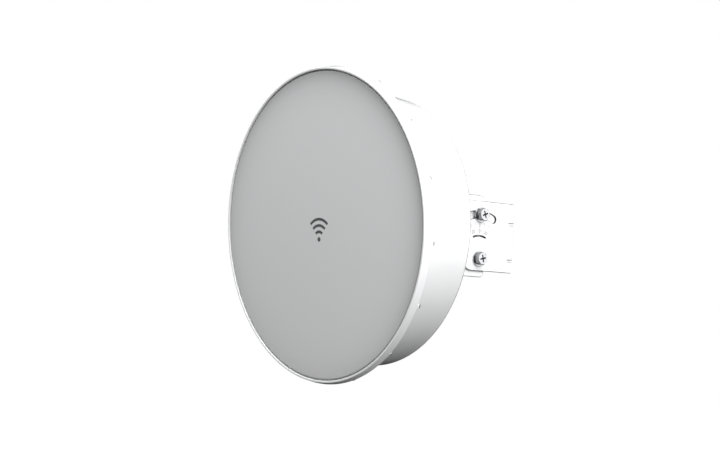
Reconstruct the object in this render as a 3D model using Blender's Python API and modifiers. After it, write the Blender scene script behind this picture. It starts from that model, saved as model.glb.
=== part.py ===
"""Outdoor wireless bridge: a shrouded dish antenna with its radio hub and tilting pole bracket.

Frame: metres, +Z up, antenna looking along -Y, origin at the centre of the bracket's rear face.
"""
import math

import bmesh
import bpy
from mathutils import Matrix

GAP = 0.0003                      # clearance between touching pieces

# Dish axis: a level line along Y. Distances called "deep" run rearward from the radome's front face.
RADOME_Y = -0.2713
AXIS_Z = 0.00125
RIM_TILT = math.radians(4.2)      # the radome and its rim face this much downward
RIM_RISE = 0.001                  # centre of the rim above the dish axis

RADOME_RADIUS = 0.1708
RADOME_THICKNESS = 0.0025
GROOVE = 0.0018
RIM_RADIUS = 0.177
RIM_LIP = 0.0009                  # the rim's front edge stands this far in front of the radome
RIM_BORE = 0.1626
LEDGE_DEEP = 0.0050
RIM_DEEP = 0.0096                 # at mid height; the rim is shallower below and deeper above
RIM_SLOPE = 0.019
CLIP_COUNT = 16
CLIP_START = math.radians(16.0)

SHROUD_REAR_RADIUS = 0.1528
SHROUD_REAR_DEEP = 0.083
SHROUD_TAPER = 0.1118             # radius lost per length
SHROUD_FRONT_DEEP = -0.020        # turned this far forward, then trimmed along the rim's plane
SHROUD_WALL = 0.0022
SHROUD_EDGE = 0.006
SHROUD_FLANGE_BORE = 0.139

DISH_FOCAL = 0.104
DISH_RADIUS = 0.139
DISH_SHEET = 0.0016
DISH_FLANGE_RADIUS = 0.1465
DISH_HOLE = 0.0306
DISH_SCREW_COUNT = 6
DISH_SCREW_CIRCLE = 0.143
DISH_SCREW_RADIUS = 0.0016

FEED_RADIUS = 0.011
FEED_WALL = 0.0016
FEED_FRONT = 0.040
FEED_REAR = 0.131

HUB_RADIUS = 0.042
HUB_WALL = 0.0025
HUB_FRONT = 0.1322
HUB_REAR = 0.156
NOSE_RADIUS = 0.030
NOSE_FRONT = 0.124
COVER_REAR = 0.160
PAD_FRONT = 0.153                 # front of the cover's thick middle
POST_CIRCLE = 0.036
POST_RADIUS = 0.003

BOSS_HALF = 0.021                 # port boss under the hub
BOSS_FRONT = 0.1365
BOSS_DROP = 0.046                 # below the dish axis
PORT_HALF = 0.0102
PORT_FRONT = 0.1382
PORT_REAR = 0.1546
BUTTON_X = 0.0165
BUTTON_DEEP = 0.146
BUTTON_RADIUS = 0.0016
LENS_X = -0.0155
LENS_DEEPS = (0.141, 0.1445, 0.148, 0.1515)
LENS_RADIUS = 0.0012
DOOR_AXIS_DEEP = 0.1362
DOOR_AXIS_DROP = 0.04885
DOOR_HALF = 0.0123
DOOR_THICKNESS = 0.0025

SHEET = 0.003                     # bracket steel
DISH_BRACKET_HALF = 0.029
POLE_BRACKET_HALF = DISH_BRACKET_HALF + GAP + SHEET
BEND = 0.004
PIVOT_Y = -0.0575
PIVOT_Z = -0.02135
SLOT_RADIUS = 0.0517              # tilt bolt to pivot bolt
SLOT_TRAVEL = math.radians(24.5)
BOLT_RADIUS = 0.004
BOLT_HOLE = 0.0044
SCALE_SLOT_RADIUS = 0.0265
SCALE_SLOT_WIDTH = 0.0022
SCALE_SLOT_TRAVEL = math.radians(22.0)
WEB_HALF = 0.0205
RELIEF = 0.0026                   # height of the cuts that free the pole bracket's web from its sides
RELIEF_LENGTH = 0.0105
MAST_HOLE_X = 0.0205
MAST_HOLE_Z = 0.012
WASHER_RADIUS = 0.0094
WASHER = 0.0012
BOLT_HEAD = 0.005
NUT = 0.0062
SPRING_WASHER_RADIUS = 0.0069
HEX_FLATS = 0.014
HEX_RADIUS = HEX_FLATS / math.sqrt(3)
BOLT_GRIP = 2 * SHEET + 2 * WASHER + 5 * GAP     # from under a bolt's head to its nut
BRACKET_SCREW_OFFSET = 0.016

RING_STEPS = 64
DISH_STEPS = 48
HUB_STEPS = 36
SMALL_STEPS = 28

WHITE_PLASTIC = ((0.86, 0.865, 0.87), 0.42, 0.0)
GREY_RADOME = ((0.70, 0.705, 0.71), 0.50, 0.0)
BLACK_RUBBER = ((0.03, 0.03, 0.032), 0.80, 0.0)
DARK_PLASTIC = ((0.07, 0.07, 0.075), 0.50, 0.0)
NATURAL_PLASTIC = ((0.80, 0.79, 0.74), 0.45, 0.0)
WHITE_PAINT = ((0.85, 0.855, 0.86), 0.38, 0.3)
ZINC = ((0.62, 0.63, 0.64), 0.32, 1.0)
ALUMINIUM = ((0.72, 0.73, 0.74), 0.40, 1.0)
COATED_ALUMINIUM = ((0.84, 0.845, 0.85), 0.45, 0.2)
CIRCUIT_BOARD = ((0.03, 0.16, 0.07), 0.45, 0.0)
GOLD = ((0.83, 0.62, 0.24), 0.30, 1.0)
LENS = ((0.75, 0.85, 0.90), 0.15, 0.0)

for old in list(bpy.data.objects):
    bpy.data.objects.remove(old, do_unlink=True)
for old in list(bpy.data.collections):
    bpy.data.collections.remove(old)

parts = bpy.data.collections.new("wireless_bridge")
cutters = bpy.data.collections.new("cutters")
bpy.context.scene.collection.children.link(parts)
bpy.context.scene.collection.children.link(cutters)


# ---------------------------------------------------------------- frames

def empty(name, matrix, parent=None):
    """An empty whose world matrix is given; it carries a frame or a joint's axis."""
    frame = bpy.data.objects.new(name, None)
    frame.empty_display_size = 0.02
    parts.objects.link(frame)
    frame.parent = parent
    frame.matrix_world = matrix
    bpy.context.view_layer.update()
    return frame


ALONG_Y = Matrix.Rotation(math.radians(-90), 4, "X")       # local Z runs rearward
ALONG_X = Matrix(((0, 0, 1, 0), (1, 0, 0, 0), (0, 1, 0, 0), (0, 0, 0, 1)))   # local XY is Y, Z
WORLD = Matrix.Identity(4)

tilt_axis = empty("tilt_axis", Matrix.Translation((0, PIVOT_Y, PIVOT_Z)))
dish_axis = empty("dish_axis", Matrix.Translation((0, RADOME_Y, AXIS_Z)) @ ALONG_Y, tilt_axis)
rim_plane = empty(
    "rim_plane",
    Matrix.Translation((0, RADOME_Y, AXIS_Z + RIM_RISE)) @ Matrix.Rotation(RIM_TILT, 4, "X") @ ALONG_Y,
    tilt_axis)


def deep(distance):
    """World Y of a distance behind the radome's front face."""
    return RADOME_Y + distance


def up(height):
    """World Z of a height over the dish axis."""
    return AXIS_Z + height


# ---------------------------------------------------------------- shapes

def material(name, finish):
    colour, roughness, metallic = finish
    made = bpy.data.materials.new(name)
    made.use_nodes = True
    shader = made.node_tree.nodes["Principled BSDF"]
    shader.inputs["Base Color"].default_value = (*colour, 1.0)
    shader.inputs["Roughness"].default_value = roughness
    shader.inputs["Metallic"].default_value = metallic
    return made


def add(name, mesh, matrix, finish, parent=None):
    """Put a mesh in the scene as a part, or as a cutter when it has no finish."""
    obj = bpy.data.objects.new(name, mesh)
    if finish is None:
        cutters.objects.link(obj)
        obj.hide_render = True
        obj.display_type = "WIRE"
    else:
        parts.objects.link(obj)
        obj.data.materials.append(material(name, finish))
    obj.parent = parent
    obj.matrix_world = matrix
    bpy.context.view_layer.update()
    return obj


def turned(name, profile, frame, finish, steps=RING_STEPS):
    """A (radius, depth) profile turned about Z of a frame; it closes unless it starts on the axis."""
    count = len(profile)
    edges = [(i, i + 1) for i in range(count - 1)]
    if profile[0][0] > 0:
        edges.append((count - 1, 0))
    mesh = bpy.data.meshes.new(name)
    mesh.from_pydata([(radius, 0, depth) for radius, depth in profile], edges, [])
    obj = add(name, mesh, frame.matrix_world.copy() if frame else WORLD, finish, frame if finish else None)
    screw = obj.modifiers.new("turn", "SCREW")
    screw.angle = 2 * math.pi
    screw.steps = steps
    screw.render_steps = steps
    screw.use_merge_vertices = True
    screw.merge_threshold = 0.00001
    screw.use_smooth_shade = False
    return obj


def prism(name, loops, low, high, matrix, finish, parent=None):
    """A flat outline with holes, extruded along its own Z from low to high."""
    curve = bpy.data.curves.new(name, "CURVE")
    curve.dimensions = "2D"
    curve.fill_mode = "BOTH"
    curve.extrude = (high - low) / 2
    for loop in loops:
        spline = curve.splines.new("POLY")
        spline.points.add(len(loop) - 1)
        spline.use_cyclic_u = True
        for point, (x, y) in zip(spline.points, loop):
            point.co = (x, y, 0, 1)
    guide = bpy.data.objects.new(name + "_outline", curve)
    cutters.objects.link(guide)
    bpy.context.view_layer.update()
    mesh = bpy.data.meshes.new_from_object(guide.evaluated_get(bpy.context.evaluated_depsgraph_get()))
    bpy.data.objects.remove(guide)
    shape = bmesh.new()
    shape.from_mesh(mesh)
    bmesh.ops.remove_doubles(shape, verts=shape.verts, dist=0.000001)
    bmesh.ops.translate(shape, verts=shape.verts, vec=(0, 0, (low + high) / 2))
    bmesh.ops.recalc_face_normals(shape, faces=shape.faces)
    if shape.calc_volume(signed=True) < 0:
        bmesh.ops.reverse_faces(shape, faces=shape.faces)
    shape.to_mesh(mesh)
    shape.free()
    return add(name, mesh, matrix, finish, parent)


def solids(name, pieces, finish, matrix=WORLD, parent=None):
    """Boxes and round or hexagonal bars in one object, as separate bodies.

    A box is ("box", low corner, high corner); a bar is ("bar", centre, axis, length, radius, sides).
    """
    shape = bmesh.new()
    for kind, *sizes in pieces:
        if kind == "box":
            low, high = sizes
            size = [h - l for l, h in zip(low, high)]
            centre = [(h + l) / 2 for l, h in zip(low, high)]
            where = Matrix.Translation(centre) @ Matrix.Diagonal((*size, 1))
            bmesh.ops.create_cube(shape, size=1, matrix=where)
        else:
            centre, axis, length, radius, sides = sizes
            turn = {"X": ALONG_X, "Y": ALONG_Y, "Z": WORLD}[axis]
            bmesh.ops.create_cone(shape, cap_ends=True, segments=sides, radius1=radius, radius2=radius,
                                  depth=length, matrix=Matrix.Translation(centre) @ turn)
    mesh = bpy.data.meshes.new(name)
    shape.to_mesh(mesh)
    shape.free()
    return add(name, mesh, matrix, finish, parent)


def bar(centre, axis, length, radius, sides=16):
    return ("bar", centre, axis, length, radius, sides)


def boolean(obj, other, operation="DIFFERENCE"):
    step = obj.modifiers.new(operation.lower() + "_" + other.name, "BOOLEAN")
    step.operation = operation
    step.solver = "EXACT"
    step.object = other
    return obj


def copies(source, places, finish, parent=None):
    """Copies of a finished cutter-side shape, each its own part: places maps each name to its matrix."""
    bpy.context.view_layer.update()
    baked = bpy.data.meshes.new_from_object(source.evaluated_get(bpy.context.evaluated_depsgraph_get()))
    for name, matrix in places.items():
        add(name, baked.copy(), matrix, finish, parent)


def screw_shape(name, head_radius, head, shank_radius, shank):
    """A round-headed screw whose head stands on local Z = 0 and whose shank runs down."""
    return turned(name, [(0, head), (0.7 * head_radius, head), (head_radius, 0.6 * head), (head_radius, 0),
                         (shank_radius, 0), (shank_radius, -shank), (0, -shank)], None, None, 12)


# ---------------------------------------------------------------- outlines

def arc(centre, radius, start, end, steps):
    """Points along an arc, angles from local X."""
    angles = [start + (end - start) * i / steps for i in range(steps + 1)]
    return [(centre[0] + radius * math.cos(a), centre[1] + radius * math.sin(a)) for a in angles]


def circle(centre, radius, steps=16):
    return arc(centre, radius, 0, 2 * math.pi, steps)[:-1]


def rounded(corners, steps=5):
    """A polygon from (x, y, radius) corners; a corner of radius 0 stays sharp."""
    outline = []
    count = len(corners)
    for i, (x, y, radius) in enumerate(corners):
        if radius == 0:
            outline.append((x, y))
            continue
        before = corners[i - 1]
        after = corners[(i + 1) % count]
        come = math.atan2(y - before[1], x - before[0])
        leave = math.atan2(after[1] - y, after[0] - x)
        bend = (leave - come + math.pi) % (2 * math.pi) - math.pi
        back = radius * math.tan(abs(bend) / 2)
        side = math.copysign(math.pi / 2, bend)
        centre = (x - back * math.cos(come) + radius * math.cos(come + side),
                  y - back * math.sin(come) + radius * math.sin(come + side))
        outline += arc(centre, radius, come - side, come - side + bend, steps)
    return outline


def curved_slot(centre, radius, width, travel, steps=14):
    """A slot that follows an arc about the centre, as far to each side of straight up as travel."""
    up_angle = math.pi / 2
    low, high = up_angle - travel, up_angle + travel
    outer = arc(centre, radius + width / 2, low, high, steps)
    inner = arc(centre, radius - width / 2, high, low, steps)
    left_end = (centre[0] + radius * math.cos(high), centre[1] + radius * math.sin(high))
    right_end = (centre[0] + radius * math.cos(low), centre[1] + radius * math.sin(low))
    left = arc(left_end, width / 2, high, high + math.pi, 6)[1:-1]
    right = arc(right_end, width / 2, low - math.pi, low, 6)[1:-1]
    return outer + left + inner + right


def channel(half, web_at, ends_at, thickness):
    """Plan outline of a bent U: its web's outer face at web_at, its sides' free ends at ends_at."""
    way = math.copysign(1, ends_at - web_at)
    inner_half = half - thickness
    inner_web = web_at + way * thickness
    return rounded([
        (half, ends_at, 0), (half, web_at, BEND), (-half, web_at, BEND), (-half, ends_at, 0),
        (-inner_half, ends_at, 0), (-inner_half, inner_web, BEND - thickness),
        (inner_half, inner_web, BEND - thickness), (inner_half, ends_at, 0)], 4)


# ---------------------------------------------------------------- front: radome, rim, clips

def make_radome():
    edge = 0.0007
    turned("radome", [(0, RADOME_THICKNESS), (RADOME_RADIUS, RADOME_THICKNESS), (RADOME_RADIUS, edge),
                      (RADOME_RADIUS - edge, 0), (0, 0)], rim_plane, GREY_RADOME)


def make_rim():
    """The rim's ring, with snap clips moulded all round its rear face."""
    bore = RADOME_RADIUS + GROOVE
    rim = turned("radome_rim", [
        (RIM_RADIUS, 0.016), (RIM_RADIUS, RIM_DEEP - 0.001), (RIM_RADIUS - 0.0018, -0.0003),
        (RIM_RADIUS - 0.0024, -RIM_LIP), (bore + 0.0004, -RIM_LIP), (bore, -0.0005), (bore, LEDGE_DEEP),
        (RIM_BORE, LEDGE_DEEP), (RIM_BORE, 0.016)], rim_plane, WHITE_PLASTIC)
    rear_plane = (rim_plane.matrix_world @ Matrix.Translation((0, 0, RIM_DEEP))
                  @ Matrix.Rotation(-math.atan(RIM_SLOPE), 4, "X"))
    boolean(rim, solids("rim_trim", [("box", (-0.2, -0.2, 0), (0.2, 0.2, 0.03))], None, rear_plane))
    inner, outer, half, length = 0.1655, 0.1765, 0.0025, 0.0028
    for i in range(CLIP_COUNT):
        angle = i * 2 * math.pi / CLIP_COUNT - CLIP_START
        rear = RIM_DEEP - RIM_SLOPE * outer * math.sin(angle)
        clip = [("box", (inner, -half, rear - 0.001), (outer, half, rear + length))]
        turn = Matrix.Rotation(angle, 4, "Z")
        boolean(rim, solids(f"rim_clip_{i + 1}", clip, None, rim_plane.matrix_world @ turn), "UNION")


def make_rim_gasket():
    front, rear = RADOME_THICKNESS + GAP, LEDGE_DEEP - GAP
    turned("rim_gasket", [(0.170, rear), (0.170, front), (0.165, front), (0.165, rear)],
           rim_plane, BLACK_RUBBER, DISH_STEPS)


# ---------------------------------------------------------------- shroud and reflector

def dish_screw_places():
    return [(DISH_SCREW_CIRCLE * math.cos(a), DISH_SCREW_CIRCLE * math.sin(a))
            for a in (2 * math.pi * (i + 0.5) / DISH_SCREW_COUNT for i in range(DISH_SCREW_COUNT))]


def make_shroud():
    """A tapered drum with a rolled rear edge and flange, its front trimmed along the rim's plane."""
    rear = SHROUD_REAR_DEEP + SHROUD_EDGE
    front_radius = SHROUD_REAR_RADIUS + SHROUD_TAPER * (SHROUD_REAR_DEEP - SHROUD_FRONT_DEEP)
    edge_centre = (SHROUD_REAR_RADIUS - SHROUD_EDGE, SHROUD_REAR_DEEP)
    outer_edge = arc(edge_centre, SHROUD_EDGE, math.pi / 2, 0, 5)
    inner_edge = arc(edge_centre, SHROUD_EDGE - SHROUD_WALL, 0, math.pi / 2, 4)
    profile = ([(SHROUD_FLANGE_BORE, rear)] + outer_edge
               + [(front_radius, SHROUD_FRONT_DEEP), (front_radius - SHROUD_WALL, SHROUD_FRONT_DEEP)]
               + inner_edge + [(SHROUD_FLANGE_BORE, rear - SHROUD_WALL)])
    shroud = turned("shroud", profile, dish_axis, WHITE_PLASTIC)
    trim_at = RADOME_THICKNESS + 2 * GAP
    trim = solids("shroud_trim", [("box", (-0.2, -0.2, trim_at - 0.08), (0.2, 0.2, trim_at))], None,
                  rim_plane.matrix_world.copy())
    boolean(shroud, trim)
    holes = [bar((x, y, rear), "Z", 0.012, DISH_SCREW_RADIUS + GAP, 12) for x, y in dish_screw_places()]
    boolean(shroud, solids("shroud_screw_holes", holes, None, dish_axis.matrix_world.copy()))


def dish_vertex():
    """Depth of the reflector's front surface at its centre."""
    flange = SHROUD_REAR_DEEP + SHROUD_EDGE - SHROUD_WALL - GAP - DISH_SHEET
    return flange + DISH_RADIUS ** 2 / (4 * DISH_FOCAL)


def dish_depth(radius):
    return dish_vertex() - radius ** 2 / (4 * DISH_FOCAL)


def make_reflector():
    """A pressed paraboloid with a flat flange, open at its centre for the hub."""
    rings = 6
    radii = [DISH_HOLE + (DISH_RADIUS - DISH_HOLE) * i / rings for i in range(rings + 1)]
    flange = dish_depth(DISH_RADIUS)
    profile = ([(r, dish_depth(r) + DISH_SHEET) for r in radii]
               + [(DISH_FLANGE_RADIUS, flange + DISH_SHEET), (DISH_FLANGE_RADIUS, flange)]
               + [(r, dish_depth(r)) for r in reversed(radii)])
    reflector = turned("reflector_dish", profile, dish_axis, COATED_ALUMINIUM, DISH_STEPS)
    holes = [bar((x, y, flange), "Z", 0.010, DISH_SCREW_RADIUS + GAP, 12) for x, y in dish_screw_places()]
    boolean(reflector, solids("reflector_screw_holes", holes, None, dish_axis.matrix_world.copy()))


def make_reflector_screws():
    rear = SHROUD_REAR_DEEP + SHROUD_EDGE + GAP
    shape = screw_shape("reflector_screw_shape", 0.0032, 0.0022, DISH_SCREW_RADIUS, 0.006)
    copies(shape, {f"reflector_screw_{i + 1}": dish_axis.matrix_world @ Matrix.Translation((x, y, rear))
                   for i, (x, y) in enumerate(dish_screw_places())}, ZINC, dish_axis)


# ---------------------------------------------------------------- feed

def make_feed():
    bore = FEED_RADIUS - FEED_WALL
    turned("feed_tube", [(FEED_RADIUS, FEED_REAR), (FEED_RADIUS, FEED_FRONT), (bore, FEED_FRONT),
                         (bore, FEED_REAR)], dish_axis, NATURAL_PLASTIC, SMALL_STEPS)
    solids("feed_board", [("box", (-0.0085, deep(0.0455), up(-0.0008)), (0.0085, deep(0.134), up(0.0008)))],
           CIRCUIT_BOARD, WORLD, tilt_axis)
    turned("feed_plug", [(0, 0.0445), (bore - GAP, 0.0445), (bore - GAP, 0.0333), (0, 0.0333)],
           dish_axis, NATURAL_PLASTIC, SMALL_STEPS)
    turned("sub_reflector", [(0, 0.0330), (0.006, 0.0330), (0.022, 0.0305), (0.022, 0.0290), (0, 0.0290)],
           dish_axis, ALUMINIUM, SMALL_STEPS)
    turned("feed_cap", [
        (0, 0.0245), (0.020, 0.0258), (0.0245, 0.0300), (0.0245, 0.0370), (0.0190, 0.0425),
        (FEED_RADIUS + GAP, 0.0445), (FEED_RADIUS + GAP, 0.0470), (0.0200, 0.0445), (0.0265, 0.0380),
        (0.0265, 0.0290), (0.0215, 0.0240), (0, 0.0225)], dish_axis, WHITE_PLASTIC, SMALL_STEPS)
    turned("feed_collar", [
        (0.037, 0.1276), (0.037, 0.1255), (0.0355, NOSE_FRONT), (NOSE_RADIUS + GAP, NOSE_FRONT),
        (NOSE_RADIUS + GAP, 0.1276)], dish_axis, WHITE_PLASTIC, SMALL_STEPS)


# ---------------------------------------------------------------- radio hub

def hub_posts():
    offset = POST_CIRCLE / math.sqrt(2)
    return [(x, z) for x in (-offset, offset) for z in (-offset, offset)]


def bracket_screws_at():
    offset = BRACKET_SCREW_OFFSET
    return [(x, z) for x in (-offset, offset) for z in (-offset, offset)]


def make_hub_housing():
    """A cup with a nose through the reflector, four screw posts and a boss below for the port."""
    bore = HUB_RADIUS - HUB_WALL
    floor = HUB_FRONT + HUB_WALL
    tube_hole = FEED_RADIUS + GAP
    housing = turned("hub_housing", [
        (HUB_RADIUS, HUB_REAR), (HUB_RADIUS, HUB_FRONT + 0.002), (HUB_RADIUS - 0.002, HUB_FRONT),
        (NOSE_RADIUS, HUB_FRONT), (NOSE_RADIUS, NOSE_FRONT), (tube_hole, NOSE_FRONT),
        (tube_hole, NOSE_FRONT + 0.003), (NOSE_RADIUS - HUB_WALL, NOSE_FRONT + 0.003),
        (NOSE_RADIUS - HUB_WALL, floor), (bore, floor), (bore, HUB_REAR)],
        dish_axis, WHITE_PLASTIC, HUB_STEPS)
    lug_half = 0.002
    additions = [("box", (-BOSS_HALF, deep(BOSS_FRONT), up(-BOSS_DROP)),
                  (BOSS_HALF, deep(HUB_REAR), up(-0.0335)))]
    boolean(housing, solids("hub_boss", additions, None), "UNION")
    posts = [bar((x, deep((floor + HUB_REAR) / 2 - 0.0005), up(z)), "Y", HUB_REAR - floor, POST_RADIUS, 12)
             for x, z in hub_posts()]
    boolean(housing, solids("hub_posts", posts, None), "UNION")
    behind = HUB_REAR + 0.004
    hollow = turned("hub_hollow", [(0, behind), (bore, behind), (bore, floor), (0, floor)],
                    dish_axis, None, HUB_STEPS)
    posts_kept = solids("hub_post_space", [bar((x, deep(0.145), up(z)), "Y", 0.04, POST_RADIUS + 0.00002, 12)
                                           for x, z in hub_posts()], None)
    boolean(hollow, posts_kept)
    boolean(housing, hollow)
    lugs = []
    for side in (-1, 1):
        middle = side * (DOOR_HALF - lug_half)
        lugs.append(("box", (middle - lug_half, deep(DOOR_AXIS_DEEP - 0.0022), up(-DOOR_AXIS_DROP - 0.0022)),
                     (middle + lug_half, deep(DOOR_AXIS_DEEP + 0.0022), up(-BOSS_DROP + 0.002))))
    boolean(housing, solids("hub_lugs", lugs, None), "UNION")
    cuts = [("box", (-PORT_HALF, deep(PORT_FRONT), up(-0.060)), (PORT_HALF, deep(PORT_REAR), up(-0.030))),
            bar((BUTTON_X, deep(BUTTON_DEEP), up(-0.045)), "Z", 0.030, BUTTON_RADIUS + GAP, 16)]
    cuts += [bar((LENS_X, deep(at), up(-0.045)), "Z", 0.030, LENS_RADIUS + GAP, 12) for at in LENS_DEEPS]
    boolean(housing, solids("hub_openings", cuts, None))
    drilled = [bar((x, deep(HUB_REAR), up(z)), "Y", 0.024, 0.0014 + GAP, 12) for x, z in hub_posts()]
    drilled.append(bar((0, deep(DOOR_AXIS_DEEP), up(-DOOR_AXIS_DROP)), "X", 0.04, 0.0008 + GAP, 12))
    boolean(housing, solids("hub_drillings", drilled, None))


def make_hub_seals():
    turned("hub_front_seal", [(0.036, HUB_FRONT - GAP), (0.036, 0.1311), (NOSE_RADIUS + GAP, 0.1311),
                              (NOSE_RADIUS + GAP, HUB_FRONT - GAP)], dish_axis, BLACK_RUBBER, SMALL_STEPS)
    turned("hub_rear_seal", [(0.0416, 0.1569), (0.0416, HUB_REAR + GAP), (0.0399, HUB_REAR + GAP),
                             (0.0399, 0.1569)], dish_axis, BLACK_RUBBER, SMALL_STEPS)


def make_hub_cover():
    """Cast rear cover; its thick middle takes the bracket's screws."""
    seat = 0.1572
    cover = turned("hub_cover", [
        (0, COVER_REAR), (HUB_RADIUS - 0.001, COVER_REAR), (HUB_RADIUS, COVER_REAR - 0.001),
        (HUB_RADIUS, seat), (0.0388, seat), (0.0388, seat - 0.0008), (0.0270, seat - 0.0008),
        (0.0270, PAD_FRONT), (0, PAD_FRONT)], dish_axis, COATED_ALUMINIUM, HUB_STEPS)
    cuts = [bar((x, deep(0.155), up(z)), "Y", 0.020, 0.0024 + GAP, 16) for x, z in bracket_screws_at()]
    cuts += [bar((x, deep(0.155), up(z)), "Y", 0.020, 0.0014 + GAP, 12) for x, z in hub_posts()]
    boolean(cover, solids("cover_holes", cuts, None))
    sinks = [bar((x, deep(COVER_REAR + 0.001), up(z)), "Y", 0.006, 0.0031, 16) for x, z in hub_posts()]
    boolean(cover, solids("cover_sinks", sinks, None))


def make_cover_screws():
    seat = COVER_REAR - 0.002 + GAP
    shape = screw_shape("cover_screw_shape", 0.0028, 0.0015, 0.0014, 0.011)
    copies(shape, {f"cover_screw_{i + 1}": Matrix.Translation((x, deep(seat), up(z))) @ ALONG_Y
                   for i, (x, z) in enumerate(hub_posts())}, ZINC, tilt_axis)


def make_electronics():
    turned("main_board", [(0, 0.1386), (0.0325, 0.1386), (0.0325, 0.1370), (0, 0.1370)],
           dish_axis, CIRCUIT_BOARD, SMALL_STEPS)
    solids("shield_can", [("box", (-0.014, deep(0.1389), up(-0.008)), (0.014, deep(0.1425), up(0.020)))],
           ZINC, WORLD, tilt_axis)
    spreader = ("box", (-0.014, deep(0.1428), up(-0.008)), (0.014, deep(PAD_FRONT - GAP), up(0.020)))
    solids("heat_spreader", [spreader], ALUMINIUM, WORLD, tilt_axis)
    solids("reset_switch", [("box", (0.014, deep(0.1389), up(-0.033)), (0.019, deep(0.149), up(-0.029)))],
           DARK_PLASTIC, WORLD, tilt_axis)
    jack = solids("ethernet_jack", [("box", (-0.008, deep(0.1389), up(-0.0445)),
                                     (0.008, deep(0.1526), up(-0.023)))], ZINC, WORLD, tilt_axis)
    cavity = solids("jack_cavity", [
        ("box", (-0.0059, deep(0.1420), up(-0.050)), (0.0059, deep(0.1497), up(-0.027)))], None)
    boolean(jack, cavity)
    pitch = 0.00102
    insert = solids("jack_contacts", [("box", (-0.0055, deep(0.1484), up(-0.0300)),
                                       (0.0055, deep(0.1494), up(-0.0273)))], GOLD, WORLD, tilt_axis)
    strips = [("box", ((i - 3.5) * pitch - 0.0002, deep(0.1484), up(-0.0415)),
               ((i - 3.5) * pitch + 0.0002, deep(0.1490), up(-0.0290))) for i in range(8)]
    boolean(insert, solids("contact_strips", strips, None), "UNION")
    pipe = solids("light_pipe", [("box", (LENS_X - LENS_RADIUS, deep(LENS_DEEPS[0] - 0.001), up(-0.0335)),
                                  (LENS_X + LENS_RADIUS, deep(LENS_DEEPS[-1] + 0.001), up(-0.0315)))],
                  LENS, WORLD, tilt_axis)
    lenses = [bar((LENS_X, deep(at), up(-0.0393)), "Z", 0.0136, LENS_RADIUS, 12) for at in LENS_DEEPS]
    boolean(pipe, solids("lenses", lenses, None), "UNION")


def make_reset_button():
    button_axis = empty("button_axis", Matrix.Translation((BUTTON_X, deep(BUTTON_DEEP), up(-BOSS_DROP))),
                        tilt_axis)
    solids("reset_button", [bar((0, 0, 0.0064), "Z", 0.0112, BUTTON_RADIUS, 16)], DARK_PLASTIC,
           button_axis.matrix_world.copy(), button_axis)


def make_port_door():
    """Flap under the port, its knuckle between the boss's two lugs, with a rubber seal on its inner face."""
    door_axis = empty("door_axis", Matrix.Translation((0, deep(DOOR_AXIS_DEEP), up(-DOOR_AXIS_DROP))),
                      tilt_axis)
    half = DOOR_THICKNESS / 2
    lug_clear = 0.0036
    knuckle_half = DOOR_HALF - 0.004 - GAP
    matrix = door_axis.matrix_world.copy()
    door = solids("port_door", [("box", (-DOOR_HALF, lug_clear, -half), (DOOR_HALF, 0.0200, half))],
                  WHITE_PLASTIC, matrix, door_axis)
    tongue = solids("door_tongue", [("box", (-knuckle_half, 0, -half), (knuckle_half, 0.0045, half))],
                    None, matrix)
    boolean(door, tongue, "UNION")
    knuckle = solids("door_knuckle", [bar((0, 0, 0), "X", 2 * knuckle_half, 0.0018, 16)], None, matrix)
    boolean(door, knuckle, "UNION")
    boolean(door, solids("door_pin_hole", [bar((0, 0, 0), "X", 0.04, 0.0008 + GAP, 12)], None, matrix))
    seal_low, seal_high = half + GAP, DOOR_AXIS_DROP - BOSS_DROP - GAP
    wall = 0.0010
    side, near, far = 0.0116, 0.0040, 0.0194
    outer = rounded([(-side, near, wall), (side, near, wall), (side, far, wall), (-side, far, wall)], 3)
    side, near, far = side - wall, near + wall, far - wall
    inner = rounded([(-side, near, wall / 2), (side, near, wall / 2), (side, far, wall / 2),
                     (-side, far, wall / 2)], 3)
    prism("door_seal", [outer, inner], seal_low, seal_high, matrix, BLACK_RUBBER, door_axis)
    solids("door_pin", [bar((0, deep(DOOR_AXIS_DEEP), up(-DOOR_AXIS_DROP)), "X", 2 * DOOR_HALF - 0.0004,
                            0.0008, 12)], ZINC, WORLD, tilt_axis)


# ---------------------------------------------------------------- brackets

def make_dish_bracket():
    """Inner U: its web screws to the hub cover, its sides carry the pivot and tilt bolts."""
    web_at = deep(COVER_REAR + GAP)
    ends_at = -0.0445
    top, bottom = 0.053, -0.0432
    outline = channel(DISH_BRACKET_HALF, web_at, ends_at, SHEET)
    bracket = prism("dish_bracket", [outline], bottom - 0.002, top + 0.002, WORLD, WHITE_PAINT, tilt_axis)
    side = rounded([
        (web_at - 0.002, -0.034, 0), (web_at + 0.001, -0.034, 0.003), (-0.092, bottom, 0.012),
        (ends_at, bottom, 0.006), (ends_at - 0.0025, top, 0.011), (-0.092, top, 0.012),
        (web_at + 0.001, 0.040, 0.003), (web_at - 0.002, 0.040, 0)])
    pivot = (PIVOT_Y, PIVOT_Z)
    holes = [circle(pivot, BOLT_HOLE), circle((PIVOT_Y, PIVOT_Z + SLOT_RADIUS), BOLT_HOLE),
             curved_slot(pivot, SCALE_SLOT_RADIUS, SCALE_SLOT_WIDTH + 0.0008, SCALE_SLOT_TRAVEL, 8)]
    boolean(bracket, prism("dish_bracket_side", [side] + holes, -0.04, 0.04, ALONG_X, None), "INTERSECT")
    drilled = [bar((x, web_at, up(z)), "Y", 0.02, 0.0024 + GAP, 16) for x, z in bracket_screws_at()]
    boolean(bracket, solids("dish_bracket_drillings", drilled, None))


def make_bracket_screws():
    seat = COVER_REAR + SHEET + 2 * GAP
    shape = screw_shape("bracket_screw_shape", 0.0046, 0.0032, 0.0024, 0.0105)
    copies(shape, {f"bracket_screw_{i + 1}": Matrix.Translation((x, deep(seat), up(z))) @ ALONG_Y
                   for i, (x, z) in enumerate(bracket_screws_at())}, ZINC, tilt_axis)


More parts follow.
